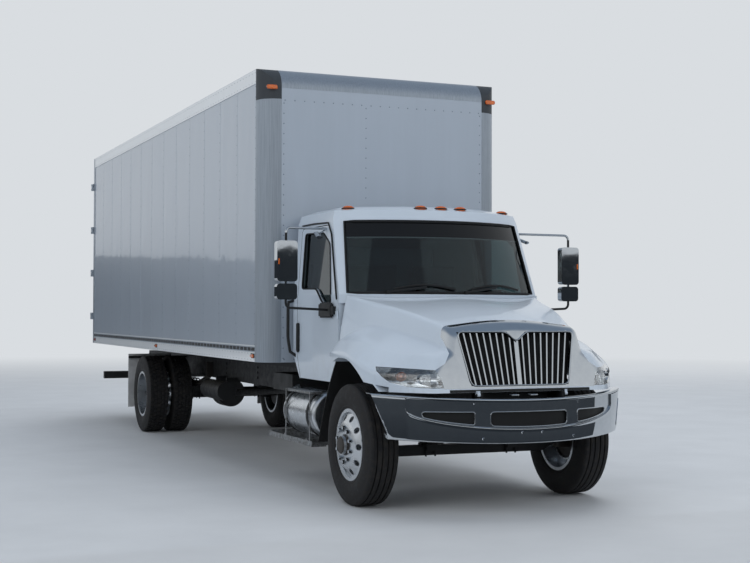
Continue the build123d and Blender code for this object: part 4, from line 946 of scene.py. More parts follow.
class TRUCK_OT_wheel_hardware(Piece, bpy.types.Operator):
    """Wheel nuts, hub caps and axle flanges"""
    bl_idname = "truck.wheel_hardware"
    bl_label = "Wheel hardware"

    def execute(self, context):
        prepare(context.scene)
        nut = context.scene.truck_sizes.nut_radius
        nuts, stud_circle, wheel_face_x = 10, 0.1428, 1.152
        for sign, word in HANDS:
            spots = bolt_circle(
                (sign * wheel_face_x, FRONT_AXLE_Y, AXLE_Z), stud_circle, nuts, sign, math.pi / nuts
            )
            body = "front_wheel_" + word
            scatter("front_wheel_nuts_" + word, "fasteners", spots, body, "chrome",
                    **head_shape(nut, nut * 0.82, 0.028, 6))
            cap = [(1.1525, 0.0005), (1.1525, 0.088), (1.160, 0.088), (1.162, 0.082), (1.190, 0.076),
                   (1.202, 0.066), (1.205, 0.050), (1.205, 0.0005)]
            turned("front_hub_cap_" + word, [cap], FRONT_AXLE_Y, sign, 48, body, "cast_iron")
            caps = bolt_circle((sign * 1.160, FRONT_AXLE_Y, AXLE_Z), 0.079, 6, sign)
            scatter("front_hub_bolts_" + word, "fasteners", caps, body, "chrome",
                    **head_shape(0.008, 0.0075, 0.006, 6))
            body = "rear_wheels_" + word
            face_x = sign * (REAR_CENTRE_X + 0.012)
            spots = bolt_circle((face_x, REAR_AXLE_Y, AXLE_Z), stud_circle, nuts, sign, math.pi / nuts)
            scatter("rear_wheel_nuts_" + word, "fasteners", spots, body, "chrome",
                    **head_shape(nut, nut * 0.82, 0.034, 6))
            flange_x = REAR_CENTRE_X + 0.095
            flange = [(flange_x, 0.0005), (flange_x, 0.100), (flange_x + 0.010, 0.100),
                      (flange_x + 0.013, 0.060), (flange_x + 0.030, 0.048), (flange_x + 0.032, 0.0005)]
            turned("rear_axle_flange_" + word, [flange], REAR_AXLE_Y, sign, 48, body, "cast_iron")
            bolts = bolt_circle((sign * (flange_x + 0.010), REAR_AXLE_Y, AXLE_Z), 0.082, 8, sign)
            scatter("rear_flange_bolts_" + word, "fasteners", bolts, body, "chassis_steel",
                    **head_shape(0.012, 0.011, 0.010, 6))
        return {"FINISHED"}


class TRUCK_OT_body_rivets(Piece, bpy.types.Operator):
    """Rivets along the van body's rails, seams and corner strips"""
    bl_idname = "truck.body_rivets"
    bl_label = "Body rivets"

    def execute(self, context):
        prepare(context.scene)
        sizes = context.scene.truck_sizes
        radius = sizes.rivet_radius
        rivet = head_shape(radius, radius * 0.5, radius * 0.45, 8)
        front = BOX_FRONT_Y + BOX_CORNER + 0.02
        back = BOX_REAR_Y - 0.12
        for sign, word in HANDS:
            face = sign * BOX_HALF
            sheet = sign * (BOX_HALF - 0.005)
            spots = []
            for z in (1.152, 1.212, 1.248, BOX_TOP - 0.030, BOX_TOP - 0.120):
                spots += heads(evenly((face, front, z), (face, back, z), sizes.rivet_pitch), (sign, 0, 0))
            seams = evenly((sheet, front, 1.300), (sheet, back, 1.300), sizes.seam_pitch)
            for seam in seams:
                column = evenly(seam, seam + Vector((0, 0, 2.540)), sizes.rivet_pitch)
                spots += heads(column, (sign, 0, 0))
            # The rivets' darker finish is painted shade.
            scatter("side_rivets_" + word, "fasteners", spots, "chassis", "rivet", **rivet)
        spots = []
        for x in (-1.072, -0.205, 1.072):
            spots += heads(evenly((x, BOX_FRONT_Y, 1.17), (x, BOX_FRONT_Y, 3.66), sizes.rivet_pitch),
                           (0, -1, 0))
        for z in (1.160, 3.690):
            spots += heads(evenly((-1.06, BOX_FRONT_Y, z), (1.06, BOX_FRONT_Y, z), sizes.rivet_pitch),
                           (0, -1, 0))
        scatter("front_wall_rivets", "fasteners", spots, "chassis", "rivet", **rivet)
        return {"FINISHED"}


class TRUCK_OT_body_trim(Piece, bpy.types.Operator):
    """Strips over the van body's panel joints, its rails, black blocks as painted shade in the rails' slots,
    and its corner extrusions
    """
    bl_idname = "truck.body_trim"
    bl_label = "Body trim"

    def execute(self, context):
        prepare(context.scene)
        sizes = context.scene.truck_sizes
        front = BOX_FRONT_Y + BOX_CORNER
        back = BOX_REAR_Y - 0.100
        strips, rails = bmesh.new(), bmesh.new()
        proud = 0.0008
        for sign, _ in HANDS:
            sheet = BOX_HALF - 0.005
            for seam in evenly((0, front + 0.02, 0), (0, back - 0.02, 0), sizes.seam_pitch):
                add_box(strips, (sign * (sheet - 0.002), seam.y - 0.020, 1.2745),
                        (sign * (sheet + proud), seam.y + 0.020, 3.8655))
            for low, high in ((1.131, 1.226), (1.281, 1.294), (3.868, BOX_TOP - 0.004)):
                add_box(
                    rails, (sign * (BOX_HALF - 0.003), front, low), (sign * (BOX_HALF + 0.0012), back, high)
                )
        piece_from("side_seams", strips, "chassis", "box_skin")
        piece_from("side_rails", rails, "chassis", "rail")
        edges = bmesh.new()
        arc = [math.pi / 2 * i / 16 for i in range(17)]
        outer = BOX_CORNER + 0.0012
        centre_y = BOX_FRONT_Y + BOX_CORNER
        for sign, _ in HANDS:
            centre_x = BOX_HALF - BOX_CORNER
            rows = []
            for turn in arc:
                x = sign * (centre_x + outer * math.sin(turn))
                y = centre_y - outer * math.cos(turn)
                inner_x = sign * (centre_x + (outer - 0.004) * math.sin(turn))
                inner_y = centre_y - (outer - 0.004) * math.cos(turn)
                rows.append([edges.verts.new(p) for p in (
                    (x, y, BOX_LOW + 0.004), (x, y, 3.699), (inner_x, inner_y, 3.699),
                    (inner_x, inner_y, BOX_LOW + 0.004))])
            join_rings(edges, rows)
        piece_from("corner_extrusions", edges, "chassis", "roof_aluminium")
        top = bmesh.new()
        rows = []
        for turn in arc:
            place = []
            for radius in (outer, outer - 0.004):
                y = centre_y - radius * math.cos(turn)
                z = min(BOX_TOP - BOX_CORNER + radius * math.sin(turn), BOX_TOP)
                place += [(-1.0945, y, z), (1.0945, y, z)]
            left_out, right_out, left_in, right_in = place
            rows.append([top.verts.new(p) for p in (left_out, right_out, right_in, left_in)])
        join_rings(top, rows)
        piece_from("top_front_extrusion", top, "chassis", "roof_aluminium")
        # The rails' slots are holes, dark by shade; black blocks on the rail stand for them as painted shade.
        slots = []
        for sign, _ in HANDS:
            for point in evenly(
                (sign * BOX_HALF, front + 0.06, 1.254), (sign * BOX_HALF, back - 0.06, 1.254), 0.125
            ):
                slots.append(
                    (point, {"facing": (sign, 0, 0), "along": (0, 1, 0), "size": (0.104, 0.034, 0.0030)})
                )
        scatter("rail_slot_shade", "blocks", slots, "chassis", "black_plastic")
        return {"FINISHED"}


class TRUCK_OT_glazing_seals(Piece, bpy.types.Operator):
    """Rubber seals round the windscreen and the door windows"""
    bl_idname = "truck.glazing_seals"
    bl_label = "Glazing seals"

    def execute(self, context):
        prepare(context.scene)
        radius = context.scene.truck_sizes.seal_radius
        low, high = 1.792, 2.440
        low_half, high_half = 0.930, 0.868
        steps = 24
        path = [screen_point(-low_half + 2 * low_half * i / steps, low) for i in range(steps + 1)]
        path += [screen_point(high_half - 2 * high_half * i / steps, high) for i in range(steps + 1)]
        swept(
            "windscreen_seal", [path], round_section(radius * 1.3, 10, 0.7), "chassis", "black_rubber", True,
            angle=60
        )
        window = ((0.735, 1.705), (0.856, 2.240), (1.050, 2.352), (1.530, 2.365), (1.530, 1.840),
                  (1.150, 1.835), (0.955, 1.705))
        for sign, word in HANDS:
            loop = [cab_side_point(p.x, p.y, sign) for p in rounded_loop(window, 0.040, 5)]
            swept(
                "window_seal_" + word, [loop], round_section(radius, 8, 0.6), "cab_door_" + word,
                "black_rubber", True, Vector((1, 0, 0)), 60
            )
        return {"FINISHED"}


class TRUCK_OT_wipers(Piece, bpy.types.Operator):
    """Two wipers parked along the foot of the windscreen"""
    bl_idname = "truck.wipers"
    bl_label = "Wipers"

    def execute(self, context):
        prepare(context.scene)
        blade = context.scene.truck_sizes.wiper_length
        arm_reach = 0.34
        for name, pivot_x in (("wiper_right", -0.62), ("wiper_left", 0.10)):
            form = bmesh.new()
            pivot = screen_point(pivot_x, 1.800, 0.028)
            middle = screen_point(pivot_x + arm_reach, 1.845, 0.030)
            add_sweep(form, [pivot, pivot.lerp(middle, 0.5) + Vector((0, -0.012, 0.004)), middle],
                      round_section(0.009, 8, 0.6))
            start, end = pivot_x + arm_reach - blade / 2, pivot_x + arm_reach + blade / 2
            shares = [i / 10 for i in range(11)]
            path = [
                screen_point(start + (end - start) * share, 1.826 + 0.038 * math.sin(math.pi * share), 0.012)
                for share in shares
            ]
            add_sweep(form, path, round_section(0.011, 6, 0.45))
            cap = screen_point(pivot_x, 1.800, 0.020)
            add_box(form, cap - Vector((0.020, 0.020, 0.020)), cap + Vector((0.020, 0.020, 0.012)), 0.006)
            piece_from(name, form, "chassis", "black_plastic", angle=50)
        return {"FINISHED"}


class TRUCK_OT_mirror_faces(Piece, bpy.types.Operator):
    """Mirror glasses, their gaskets, the side lamps on the heads and the look-down mirrors"""
    bl_idname = "truck.mirror_faces"
    bl_label = "Mirror faces"

    def execute(self, context):
        prepare(context.scene)
        back_y = FRONT_AXLE_Y + 0.742
        for sign, word in HANDS:
            body = "cab_door_" + word
            glass = bmesh.new()
            gasket = bmesh.new()
            for low, high in ((1.890, 2.250), (1.730, 1.872)):
                x = sign * 1.440
                add_box(
                    gasket, (x - 0.088, back_y - 0.004, low + 0.007),
                    (x + 0.088, back_y + 0.006, high - 0.007), 0.005
                )
                add_box(
                    glass, (x - 0.078, back_y, low + 0.017), (x + 0.078, back_y + 0.0075, high - 0.017), 0.002
                )
            piece_from("mirror_gaskets_" + word, gasket, body, "black_rubber")
            piece_from("mirror_glasses_" + word, glass, body, "mirror_glass")
            lamp = bmesh.new()
            outer = sign * (1.440 + 0.0935)
            add_box(
                lamp, (outer - sign * 0.030, back_y - 0.081, 2.030), (outer, back_y - 0.050, 2.100), 0.010, 3
            )
            piece_from("mirror_lamp_" + word, lamp, body, "amber_lens")
            form = bmesh.new()
            roof = cab_side_point(1.010, 2.375, sign, 0.004)
            arm = cab_side_point(0.940, 2.335, sign, 0.085)
            add_sweep(form, [roof, arm], round_section(0.007, 8))
            start, end = arm + Vector((0, 0.070, 0.008)), arm + Vector((sign * 0.03, -0.085, -0.040))
            add_sweep(form, [start, start.lerp(end, 0.1), start.lerp(end, 0.5), start.lerp(end, 0.9), end],
                      round_section(0.028, 12, 0.55), up=Vector((sign, 0, 0)))
            piece_from("look_down_mirror_" + word, form, body, "chrome", angle=50)
        return {"FINISHED"}


class TRUCK_OT_mirror_mounts(Piece, bpy.types.Operator):
    """Black covers on the doors over the feet of the mirror arms"""
    bl_idname = "truck.mirror_mounts"
    bl_label = "Mirror mounts"

    def execute(self, context):
        prepare(context.scene)
        for sign, word in HANDS:
            form = bmesh.new()
            add_box(
                form, (sign * 0.9985, FRONT_AXLE_Y + 0.665, 1.570),
                (sign * 1.034, FRONT_AXLE_Y + 0.985, 1.705), 0.014, 3
            )
            piece_from("mirror_mount_" + word, form, "cab_door_" + word, "black_plastic", angle=50)
        return {"FINISHED"}


class TRUCK_OT_door_trim(Piece, bpy.types.Operator):
    """Door handles, drip rails and the cab's rear grab bars"""
    bl_idname = "truck.door_trim"
    bl_label = "Door trim"

    def execute(self, context):
        prepare(context.scene)
        for sign, word in HANDS:
            form = bmesh.new()
            x = sign * (CAB_HALF + 0.013)
            y = FRONT_AXLE_Y + 1.5875
            heights = (1.236, 1.239, 1.246, 1.258, 1.500, 1.510, 1.515, 1.518)
            widths = (0.008, 0.012, 0.017, 0.020, 0.020, 0.017, 0.012, 0.008)
            rings = [
                [form.verts.new((x + sign * 0.9 * width * math.cos(t), y + width * math.sin(t), z))
                 for t in [2 * math.pi * i / 16 for i in range(16)]]
                for z, width in zip(heights, widths)
            ]
            join_rings(form, rings)
            piece_from("door_handle_" + word, form, "cab_door_" + word, "black_plastic", angle=50)
            x = sign * CAB_HALF
            y = FRONT_AXLE_Y + 1.740
            path = [
                (x - sign * 0.02, y + 0.012, 1.735), (x + sign * 0.055, y, 1.715),
                (x + sign * 0.060, y, 1.660), (x + sign * 0.060, y, 1.390),
                (x + sign * 0.058, y - 0.010, 1.340), (x + sign * 0.050, y - 0.036, 1.240),
                (x - sign * 0.02, y - 0.052, 1.190)
            ]
            swept(
                "grab_bar_" + word, [path], round_section(0.015, 10), "chassis", "black_plastic",
                up=Vector((0, 1, 0))
            )
            drip = [cab_side_point(y, z, sign, 0.008) for y, z in (
                (0.585, 1.735), (0.700, 2.000), (0.830, 2.330), (0.935, 2.437), (1.300, 2.447),
                (1.620, 2.445),
            )]
            swept(
                "drip_rail_" + word, [drip], round_section(0.008, 6), "chassis", "black_rubber",
                up=Vector((sign, 0, 0))
            )
        return {"FINISHED"}


class TRUCK_OT_grille_screen(Piece, bpy.types.Operator):
    """A dark screen behind the grille's bars, a black strip along the hood's lower lip as painted shade, and
    the opening's rim
    """
    bl_idname = "truck.grille_screen"
    bl_label = "Grille screen"

    def execute(self, context):
        prepare(context.scene)
        form = bmesh.new()
        low_y, lean = FRONT_AXLE_Y - 0.945 + 0.060, 0.2
        low_z, high_z = 1.022, 1.480
        half_low, half_high = 0.462, 0.548
        corners = []
        for x, z in ((-half_low, low_z), (half_low, low_z), (half_high, high_z), (-half_high, high_z)):
            y = low_y + lean * (z - 0.985)
            corners.append((form.verts.new((x, y, z)), form.verts.new((x, y + 0.004, z))))
        join_rings(form, [[near for near, _ in corners], [far for _, far in corners]])
        piece_from("grille_screen", form, "hood", "black_plastic")
        hood = BVHTree.FromBMesh(merged_form("hood_shell"))
        # A black strip on the hood's lower lip is painted shade: the lip is shaded, not black.
        lip, rows = bmesh.new(), []
        # Rays from ahead find the hood's edge by steps of height, and the lip is some steps high
        half_wide, start_z, rise, tries, lip_steps, reach = 0.64, 0.930, 0.002, 46, 11, 1.30
        for i in range(41):
            x = half_wide * (i / 20 - 1)
            starts = [Vector((x, FRONT_AXLE_Y - 2.0, start_z + rise * k)) for k in range(tries)]
            hits = [hood.ray_cast(start, Vector((0, 1, 0)), reach)[0] for start in starts]
            found = [point for point in hits if point]
            if len(found) <= lip_steps:
                raise RuntimeError("The hood's lower edge was not found at x = %.3f" % x)
            low, high = found[0], found[lip_steps]
            rows.append([lip.verts.new(p) for p in (
                low + Vector((0, -0.0015, 0)), high + Vector((0, -0.0015, 0)),
                high + Vector((0, 0.003, 0)), low + Vector((0, 0.003, 0)))])
        join_rings(lip, rows)
        piece_from("hood_lower_lip_shade", lip, "hood", "black_plastic", angle=50)
        outline = rounded_loop(((-0.445, 0.052), (0.445, 0.052), (0.535, 0.490), (0.090, 0.490), (0.0, 0.405),
                                (-0.090, 0.490), (-0.535, 0.490)), 0.050, 5)
        steep = math.hypot(1.0, lean)
        loop = [(p.x, FRONT_AXLE_Y - 0.947 + p.y * lean / steep, 0.985 + p.y / steep) for p in outline]
        swept("grille_rim", [loop], round_section(0.007, 8), "hood", "chrome", True, Vector((0, -1, 0)), 60)
        return {"FINISHED"}


class TRUCK_OT_headlamp_units(Piece, bpy.types.Operator):
    """Thin headlamp lenses over silvered housings, each with a main and a turn reflector"""
    bl_idname = "truck.headlamp_units"
    bl_label = "Headlamp units"

    def execute(self, context):
        prepare(context.scene)
        whole = merged_form("headlamps")
        surface = BVHTree.FromBMesh(whole)
        lens, housing = whole.copy(), whole.copy()
        whole.free()
        for form, kept in ((lens, True), (housing, False)):
            spare = []
            for face in form.faces:
                hand = math.copysign(1.0, face.calc_center_median().x)
                shown = face.normal.dot(Vector((0.55 * hand, -0.83, 0.0))) > 0.5
                if shown != kept:
                    spare.append(face)
            bmesh.ops.delete(form, geom=spare, context="FACES")
        for name, form, finish in (
            ("headlamp_lenses", lens, "lamp_lens"), ("headlamp_housings", housing, "reflector"),
        ):
            smooth_by_angle(form, 32)
            mesh = bpy.data.meshes.new(name)
            form.to_mesh(mesh)
            form.free()
            piece = place_mesh(name, mesh, "hood", finish, "headlamps")
            wall = piece.modifiers.new("Wall", "SOLIDIFY")
            wall.thickness = 0.003
            wall.offset = -1.0
        bowls, bulbs, turn_bulbs = bmesh.new(), bmesh.new(), bmesh.new()
        for hand, _ in HANDS:
            for x, z, half_wide, half_high, bulb, group in (
                (0.815, 1.096, 0.086, 0.044, 0.017, bulbs), (0.968, 1.112, 0.046, 0.038, 0.012, turn_bulbs),
            ):
                start = Vector((hand * x, FRONT_AXLE_Y - 2.0, z))
                hit, normal, _, _ = surface.ray_cast(start, Vector((0, 1, 0)))
                axis = (normal * 0.6 + Vector((0, -1, 0)) * 0.4).normalized()
                axis = Vector((axis.x, axis.y, 0)).normalized()
                centre = hit - normal * 0.012
                add_dish(bowls, centre, axis, half_wide, half_high, 0.034)
                middle = centre - axis * 0.020
                add_sweep(
                    group, [middle - axis * 0.010, middle, middle + axis * bulb * 0.7, middle + axis * bulb],
                    round_section(bulb, 16)
                )
        piece_from("headlamp_reflectors", bowls, "hood", "chrome", angle=50)
        piece_from("headlamp_bulbs", bulbs, "hood", "lamp_lens", angle=50)
        piece_from("turn_bulbs", turn_bulbs, "hood", "amber_lens", angle=50)
        return {"FINISHED"}


class TRUCK_OT_roof_lamps(Piece, bpy.types.Operator):
    """Five domed amber clearance lamps on the roof's front edge, on black bases"""
    bl_idname = "truck.roof_lamps"
    bl_label = "Roof lamps"

    def execute(self, context):
        prepare(context.scene)
        domes, bases = bmesh.new(), bmesh.new()
        for x, y in ((-0.790, 0.858), (-0.200, 0.565), (0.0, 0.556), (0.200, 0.565), (0.790, 0.858)):
            centre = Vector((x, FRONT_AXLE_Y + y, 2.566))
            turn = Matrix.Rotation(math.copysign(0.55, x) if abs(x) > 0.5 else 0.0, 4, "Z")
            for form, size in ((domes, (0.056, 0.056, 0.028)), (bases, (0.062, 0.061, 0.014))):
                bmesh.ops.create_uvsphere(
                    form, u_segments=32, v_segments=16, radius=1.0,
                    matrix=Matrix.Translation(centre) @ turn @ Matrix.Diagonal((*size, 1.0)),
                )
        piece_from("roof_lamp_domes", domes, "chassis", "amber_lens", "roof_lamps", angle=60)
        piece_from("roof_lamp_bases", bases, "chassis", "black_rubber", angle=60)
        return {"FINISHED"}


# The bumper's three openings: middle, half width and corner radius, and the smile that bounds them
BUMPER_OPENINGS = ((0.0, 0.345, 0.028), (-0.6525, 0.1875, 0.020), (0.6525, 0.1875, 0.020))
SMILE_Z, SMILE_HALF, SMILE_DROP = 0.850, 0.955, 0.155
# The face's bow, its half width at the top and at the foot, the ends' corner radius, and how far the sheet
# lies back outside and inside the smile
BUMPER_BOW, BUMPER_FRONT_Y = 1.5089, FRONT_AXLE_Y - 1.130
BUMPER_END, BUMPER_FOOT, BUMPER_CORNER = 1.166, 1.062, 0.045
BUMPER_BACK, BUMPER_PRESSED = 0.003, 0.015
SMILE_FADE = 0.035


def bumper_point(x, z, back=0.0):
    """A point on the bumper's bowed face, or behind it."""
    bow_centre_y = BUMPER_FRONT_Y + BUMPER_BOW
    return Vector((x, bow_centre_y - math.sqrt((BUMPER_BOW - back) ** 2 - x * x), z))


def smile_height(x, margin=0.0):
    """The height of the bumper's smiling crease, or of a line inside it."""
    half = SMILE_HALF - margin
    return SMILE_Z - (SMILE_DROP - margin) * math.sqrt(max(0.0, 1 - (x / half) ** 2))


def opening_edges(x):
    """The upper and lower edge of the bumper's opening at a place along it, or of the sheet beside one."""
    top, bottom = 0.838, smile_height(x, 0.024)
    for middle, half, radius in BUMPER_OPENINGS:
        inside = half - abs(x - middle)
        if -1e-6 < inside < radius:
            round_off = radius - math.sqrt(max(0.0, radius ** 2 - (radius - inside) ** 2))
            return top - round_off, bottom + round_off
    return top, min(bottom, top - 0.010)


def bumper_depth(x):
    """How far the bumper's face lies behind its crease: pressed in between the ends of the smile."""
    share = min(1.0, max(0.0, (SMILE_HALF - abs(x)) / SMILE_FADE))
    return BUMPER_BACK + BUMPER_PRESSED * share * share * (3 - 2 * share)


def bumper_section(x):
    """The bumper's section from its upper flange to its lower one, as heights and depths."""
    top = 0.938 + 0.036 * (x / BUMPER_END) ** 2
    bottom = 0.586 + 0.026 * min(1.0, (x / BUMPER_FOOT) ** 2)
    near_end = max(0.0, BUMPER_CORNER - (BUMPER_END - abs(x)))
    bottom += BUMPER_CORNER - math.sqrt(BUMPER_CORNER ** 2 - near_end ** 2)
    depth, crease = bumper_depth(x), smile_height(x)
    share = (depth - BUMPER_BACK) / BUMPER_PRESSED
    upper, lower = opening_edges(x)
    lower = max(lower, crease + 0.0235)
    upper = max(upper, lower + 0.008)
    lip = [(top, 0.060), (top, 0.014), (top - 0.003, 0.005), (top - 0.009, 0.001), (top - 0.016, 0.001),
           (top - 0.022, 0.004), (top - 0.026, depth), (top - 0.031, depth)]
    face = [
        (upper + 0.015, depth), (upper, depth), (lower, depth), (crease + 0.018, depth),
        (crease + 0.013, depth)
    ]
    shape = (
        (0.010, depth * 0.45), (0.005, 0.0010), (0.0, 0.0), (-0.006, 0.0012), (-0.013, 0.0050),
        (-0.022, 0.0050)
    )
    fold = [(crease + rise, BUMPER_BACK + (back - BUMPER_BACK) * share) for rise, back in shape]
    foot = [(bottom + 0.020, BUMPER_BACK + 0.002 * share), (bottom + 0.010, 0.006), (bottom + 0.003, 0.010),
            (bottom, 0.016), (bottom, 0.060)]
    return lip + face + fold + foot


class TRUCK_OT_bumper(Piece, bpy.types.Operator):
    """The pressed bumper with its rolled lip, smiling crease and three openings, on two arms"""
    bl_idname = "truck.bumper"
    bl_label = "Bumper"

    def execute(self, context):
        prepare(context.scene)
        stops = {BUMPER_END * (i / 56 - 1) for i in range(113)}
        stops |= {BUMPER_END - BUMPER_CORNER * (1 - math.cos(i / 4)) for i in range(6)}
        for middle, half, radius in BUMPER_OPENINGS:
            for i in range(7):
                reach = half - radius * (1 - math.cos(math.pi / 12 * i))
                stops |= {middle - reach, middle + reach}
        stops |= {SMILE_HALF - 0.005 * i for i in range(9)}
        stops |= {-x for x in stops}
        columns, narrowest = [], 0.0008
        for x in sorted(stops):
            if not columns or x - columns[-1] > narrowest:
                columns.append(x)
        form = bmesh.new()
        rows = []
        for x in columns:
            share = max(0.0, (abs(x) - SMILE_HALF) / (BUMPER_END - SMILE_HALF))
            slant = share ** 2 * (BUMPER_END - BUMPER_FOOT)
            section = bumper_section(x)
            high, low = section[0][0], section[-1][0]
            rows.append([
                form.verts.new(bumper_point(x - math.copysign(slant * (high - z) / (high - low), x), z, back))
                for z, back in section
            ])
        for i in range(len(columns) - 1):
            x = (columns[i] + columns[i + 1]) / 2
            open_here = any(abs(x - middle) < half for middle, half, _ in BUMPER_OPENINGS)
            for k in range(len(rows[0]) - 1):
                if not (open_here and k == 9):
                    form.faces.new((rows[i][k], rows[i][k + 1], rows[i + 1][k + 1], rows[i + 1][k]))
        bumper = piece_from("bumper_pressing", form, "chassis", "chrome", "front_bumper", angle=40)
        wall = bumper.modifiers.new("Sheet thickness", "SOLIDIFY")
        wall.thickness = 0.004
        wall.offset = -1
        loops = []
        for middle, half, _ in BUMPER_OPENINGS:
            inside = [x for x in columns if abs(x - middle) < half + 1e-6]
            edge = [(x, opening_edges(x)[0]) for x in inside] + [
                (x, opening_edges(x)[1]) for x in reversed(inside)
            ]
            loops.append([bumper_point(x, z, bumper_depth(x) + 0.001) for x, z in edge])
        swept(
            "bumper_opening_lips", loops, round_section(0.0045, 8), "chassis", "chrome", True,
            Vector((0, -1, 0)), 70
        )
        form = bmesh.new()
        for sign, _ in HANDS:
            add_box(
                form, (sign * 0.426, FRONT_AXLE_Y - 1.048, 0.770),
                (sign * 0.360, FRONT_AXLE_Y - 0.930, 0.870), 0.004
            )
        piece_from("bumper_arms", form, "chassis", "chassis_steel")
        return {"FINISHED"}


class TRUCK_OT_bumper_trim(Piece, bpy.types.Operator):
    """The bumper's dark inserts and bolts, and two pulls under the grille"""
    bl_idname = "truck.bumper_trim"
    bl_label = "Bumper trim"

    def execute(self, context):
        prepare(context.scene)
        form = bmesh.new()
        rows = []
        for i in range(25):
            x = 0.860 * (i / 12 - 1)
            rows.append([form.verts.new(bumper_point(x, z, back)) for z, back in (
                (0.700, 0.034), (0.846, 0.034), (0.846, 0.038), (0.700, 0.038))])
        join_rings(form, rows)
        piece_from("bumper_inserts", form, "chassis", "black_plastic")
        spots = []
        for x, z in ((0.410, 0.628), (0.090, 0.673), (0.470, 0.903)):
            for hand, _ in HANDS:
                spots += heads([bumper_point(hand * x, z, 0.018 if z > 0.8 else 0.0035)], (0, -1, 0))
        scatter("bumper_bolts", "fasteners", spots, "chassis", "chrome",
                **head_shape(0.012, 0.008, 0.006, 12))
        y, z = FRONT_AXLE_Y - 1.000, 0.962
        hook = (
            (-0.030, 0.060), (-0.030, 0.0), (-0.018, -0.018), (0.018, -0.018), (0.030, 0.0), (0.030, 0.060)
        )
        pulls = [[(x + across, y + back, z) for across, back in hook] for x in (-0.085, 0.085)]
        swept("front_pulls", pulls, round_section(0.007, 8), "chassis", "chrome", angle=60)
        return {"FINISHED"}


def pillow(low, high, swell):
    """A crowned cushion between two corners, its sides pulled in between its corners."""
    form = bmesh.new()
    add_box(form, low, high)
    for _ in range(4):
        bmesh.ops.subdivide_edges(form, edges=form.edges, cuts=1, use_grid_fill=True)
    low, high = Vector(low), Vector(high)
    centre, half = (low + high) / 2, (high - low) / 2
    for vertex in form.verts:
        share = Vector([(vertex.co[i] - centre[i]) / half[i] for i in range(3)])
        for i in range(3):
            j, k = (i + 1) % 3, (i + 2) % 3
            crown = (1 - share[j] ** 2) * (1 - share[k] ** 2)
            pull = 0.35 * (share[j] ** 4 + share[k] ** 4) * (1 - crown)
            if abs(share[i]) > 0.99:
                vertex.co[i] += math.copysign(swell * (crown - 0.4 - pull), share[i])
    return form


def applied(piece):
    """Turns a piece's modifiers into its mesh."""
    held = piece.evaluated_get(bpy.context.evaluated_depsgraph_get())
    mesh = bpy.data.meshes.new_from_object(held)
    piece.modifiers.clear()
    piece.data = mesh


def inflated(form, cap):
    """Swells a closed cushion as cloth under pressure, and holds each point within a cap of its start."""
    mesh = bpy.data.meshes.new("inflating")
    form.to_mesh(mesh)
    form.free()
    piece = bpy.data.objects.new("inflating", mesh)
    scene = bpy.context.scene
    scene.collection.objects.link(piece)
    cells = piece.modifiers.new("Even cells", "REMESH")
    cells.mode = "VOXEL"
    cells.voxel_size = 0.010
    applied(piece)
    starts = [vertex.co.copy() for vertex in piece.data.vertices]
    cloth = piece.modifiers.new("Cloth", "CLOTH")
    cloth.settings.use_pressure = True
    cloth.settings.uniform_pressure_force = 4.0
    cloth.settings.effector_weights.gravity = 0.0
    cloth.point_cache.frame_start, cloth.point_cache.frame_end = 1, 20
    for number in range(1, 21):
        scene.frame_set(number)
    applied(piece)
    scene.frame_set(1)
    for vertex, start in zip(piece.data.vertices, starts):
        moved = vertex.co - start
        if moved.length > cap:
            vertex.co = start + moved * (cap / moved.length)
    made = bmesh.new()
    made.from_mesh(piece.data)
    bpy.data.objects.remove(piece)
    return made


def channelled(form, start, end, count, depth):
    """Presses sewn channels into a cushion across its width."""
    middle = sum((vertex.co for vertex in form.verts), Vector()) / len(form.verts)
    for vertex in form.verts:
        place = count * (vertex.co.x - start) / (end - start)
        near = 1 - abs(place - round(place)) * (end - start) / count / 0.014
        if near > 0 and 0 < round(place) < count:
            vertex.co += (middle - vertex.co).normalized() * depth * near * near


class TRUCK_OT_seats(Piece, bpy.types.Operator):
    """Seat cushions and backs, blown up as cloth under pressure and sewn in channels, on their plinths"""
    bl_idname = "truck.seats"
    bl_label = "Seats"

    def cushion(self, name, low, high, channels, lean=0.0):
        """One padded piece between two corners, leaning back as it rises."""
        form = pillow(low, high, 0.006)
        form = inflated(form, 0.014)
        channelled(form, low[0], high[0], channels, 0.012)
        for vertex in form.verts:
            vertex.co.y += (vertex.co.z - low[2]) * lean
        pad = piece_from(name, form, "chassis", "seat_fabric", angle=80)
        fine = pad.modifiers.new("Finer cells", "SUBSURF")
        fine.levels = fine.render_levels = 1

    def execute(self, context):
        prepare(context.scene)
        margin, y = 0.022, FRONT_AXLE_Y
        plinths = bmesh.new()
        for name, start, end, channels in (("bench", -0.880, 0.060, 4), ("driver", 0.200, 0.700, 3)):
            add_box(plinths, (start + 0.06, y + 1.230, 1.0855), (end - 0.06, y + 1.600, 1.340), 0.010)
            self.cushion(name + "_cushion", (start + margin, y + 1.137, 1.349),
                         (end - margin, y + 1.573, 1.448), channels)
            self.cushion(name + "_back", (start + margin, y + 1.580, 1.444),
                         (end - margin, y + 1.663, 2.088), channels, 0.055)
        piece_from("seat_plinths", plinths, "chassis", "black_plastic", "seats")
        return {"FINISHED"}


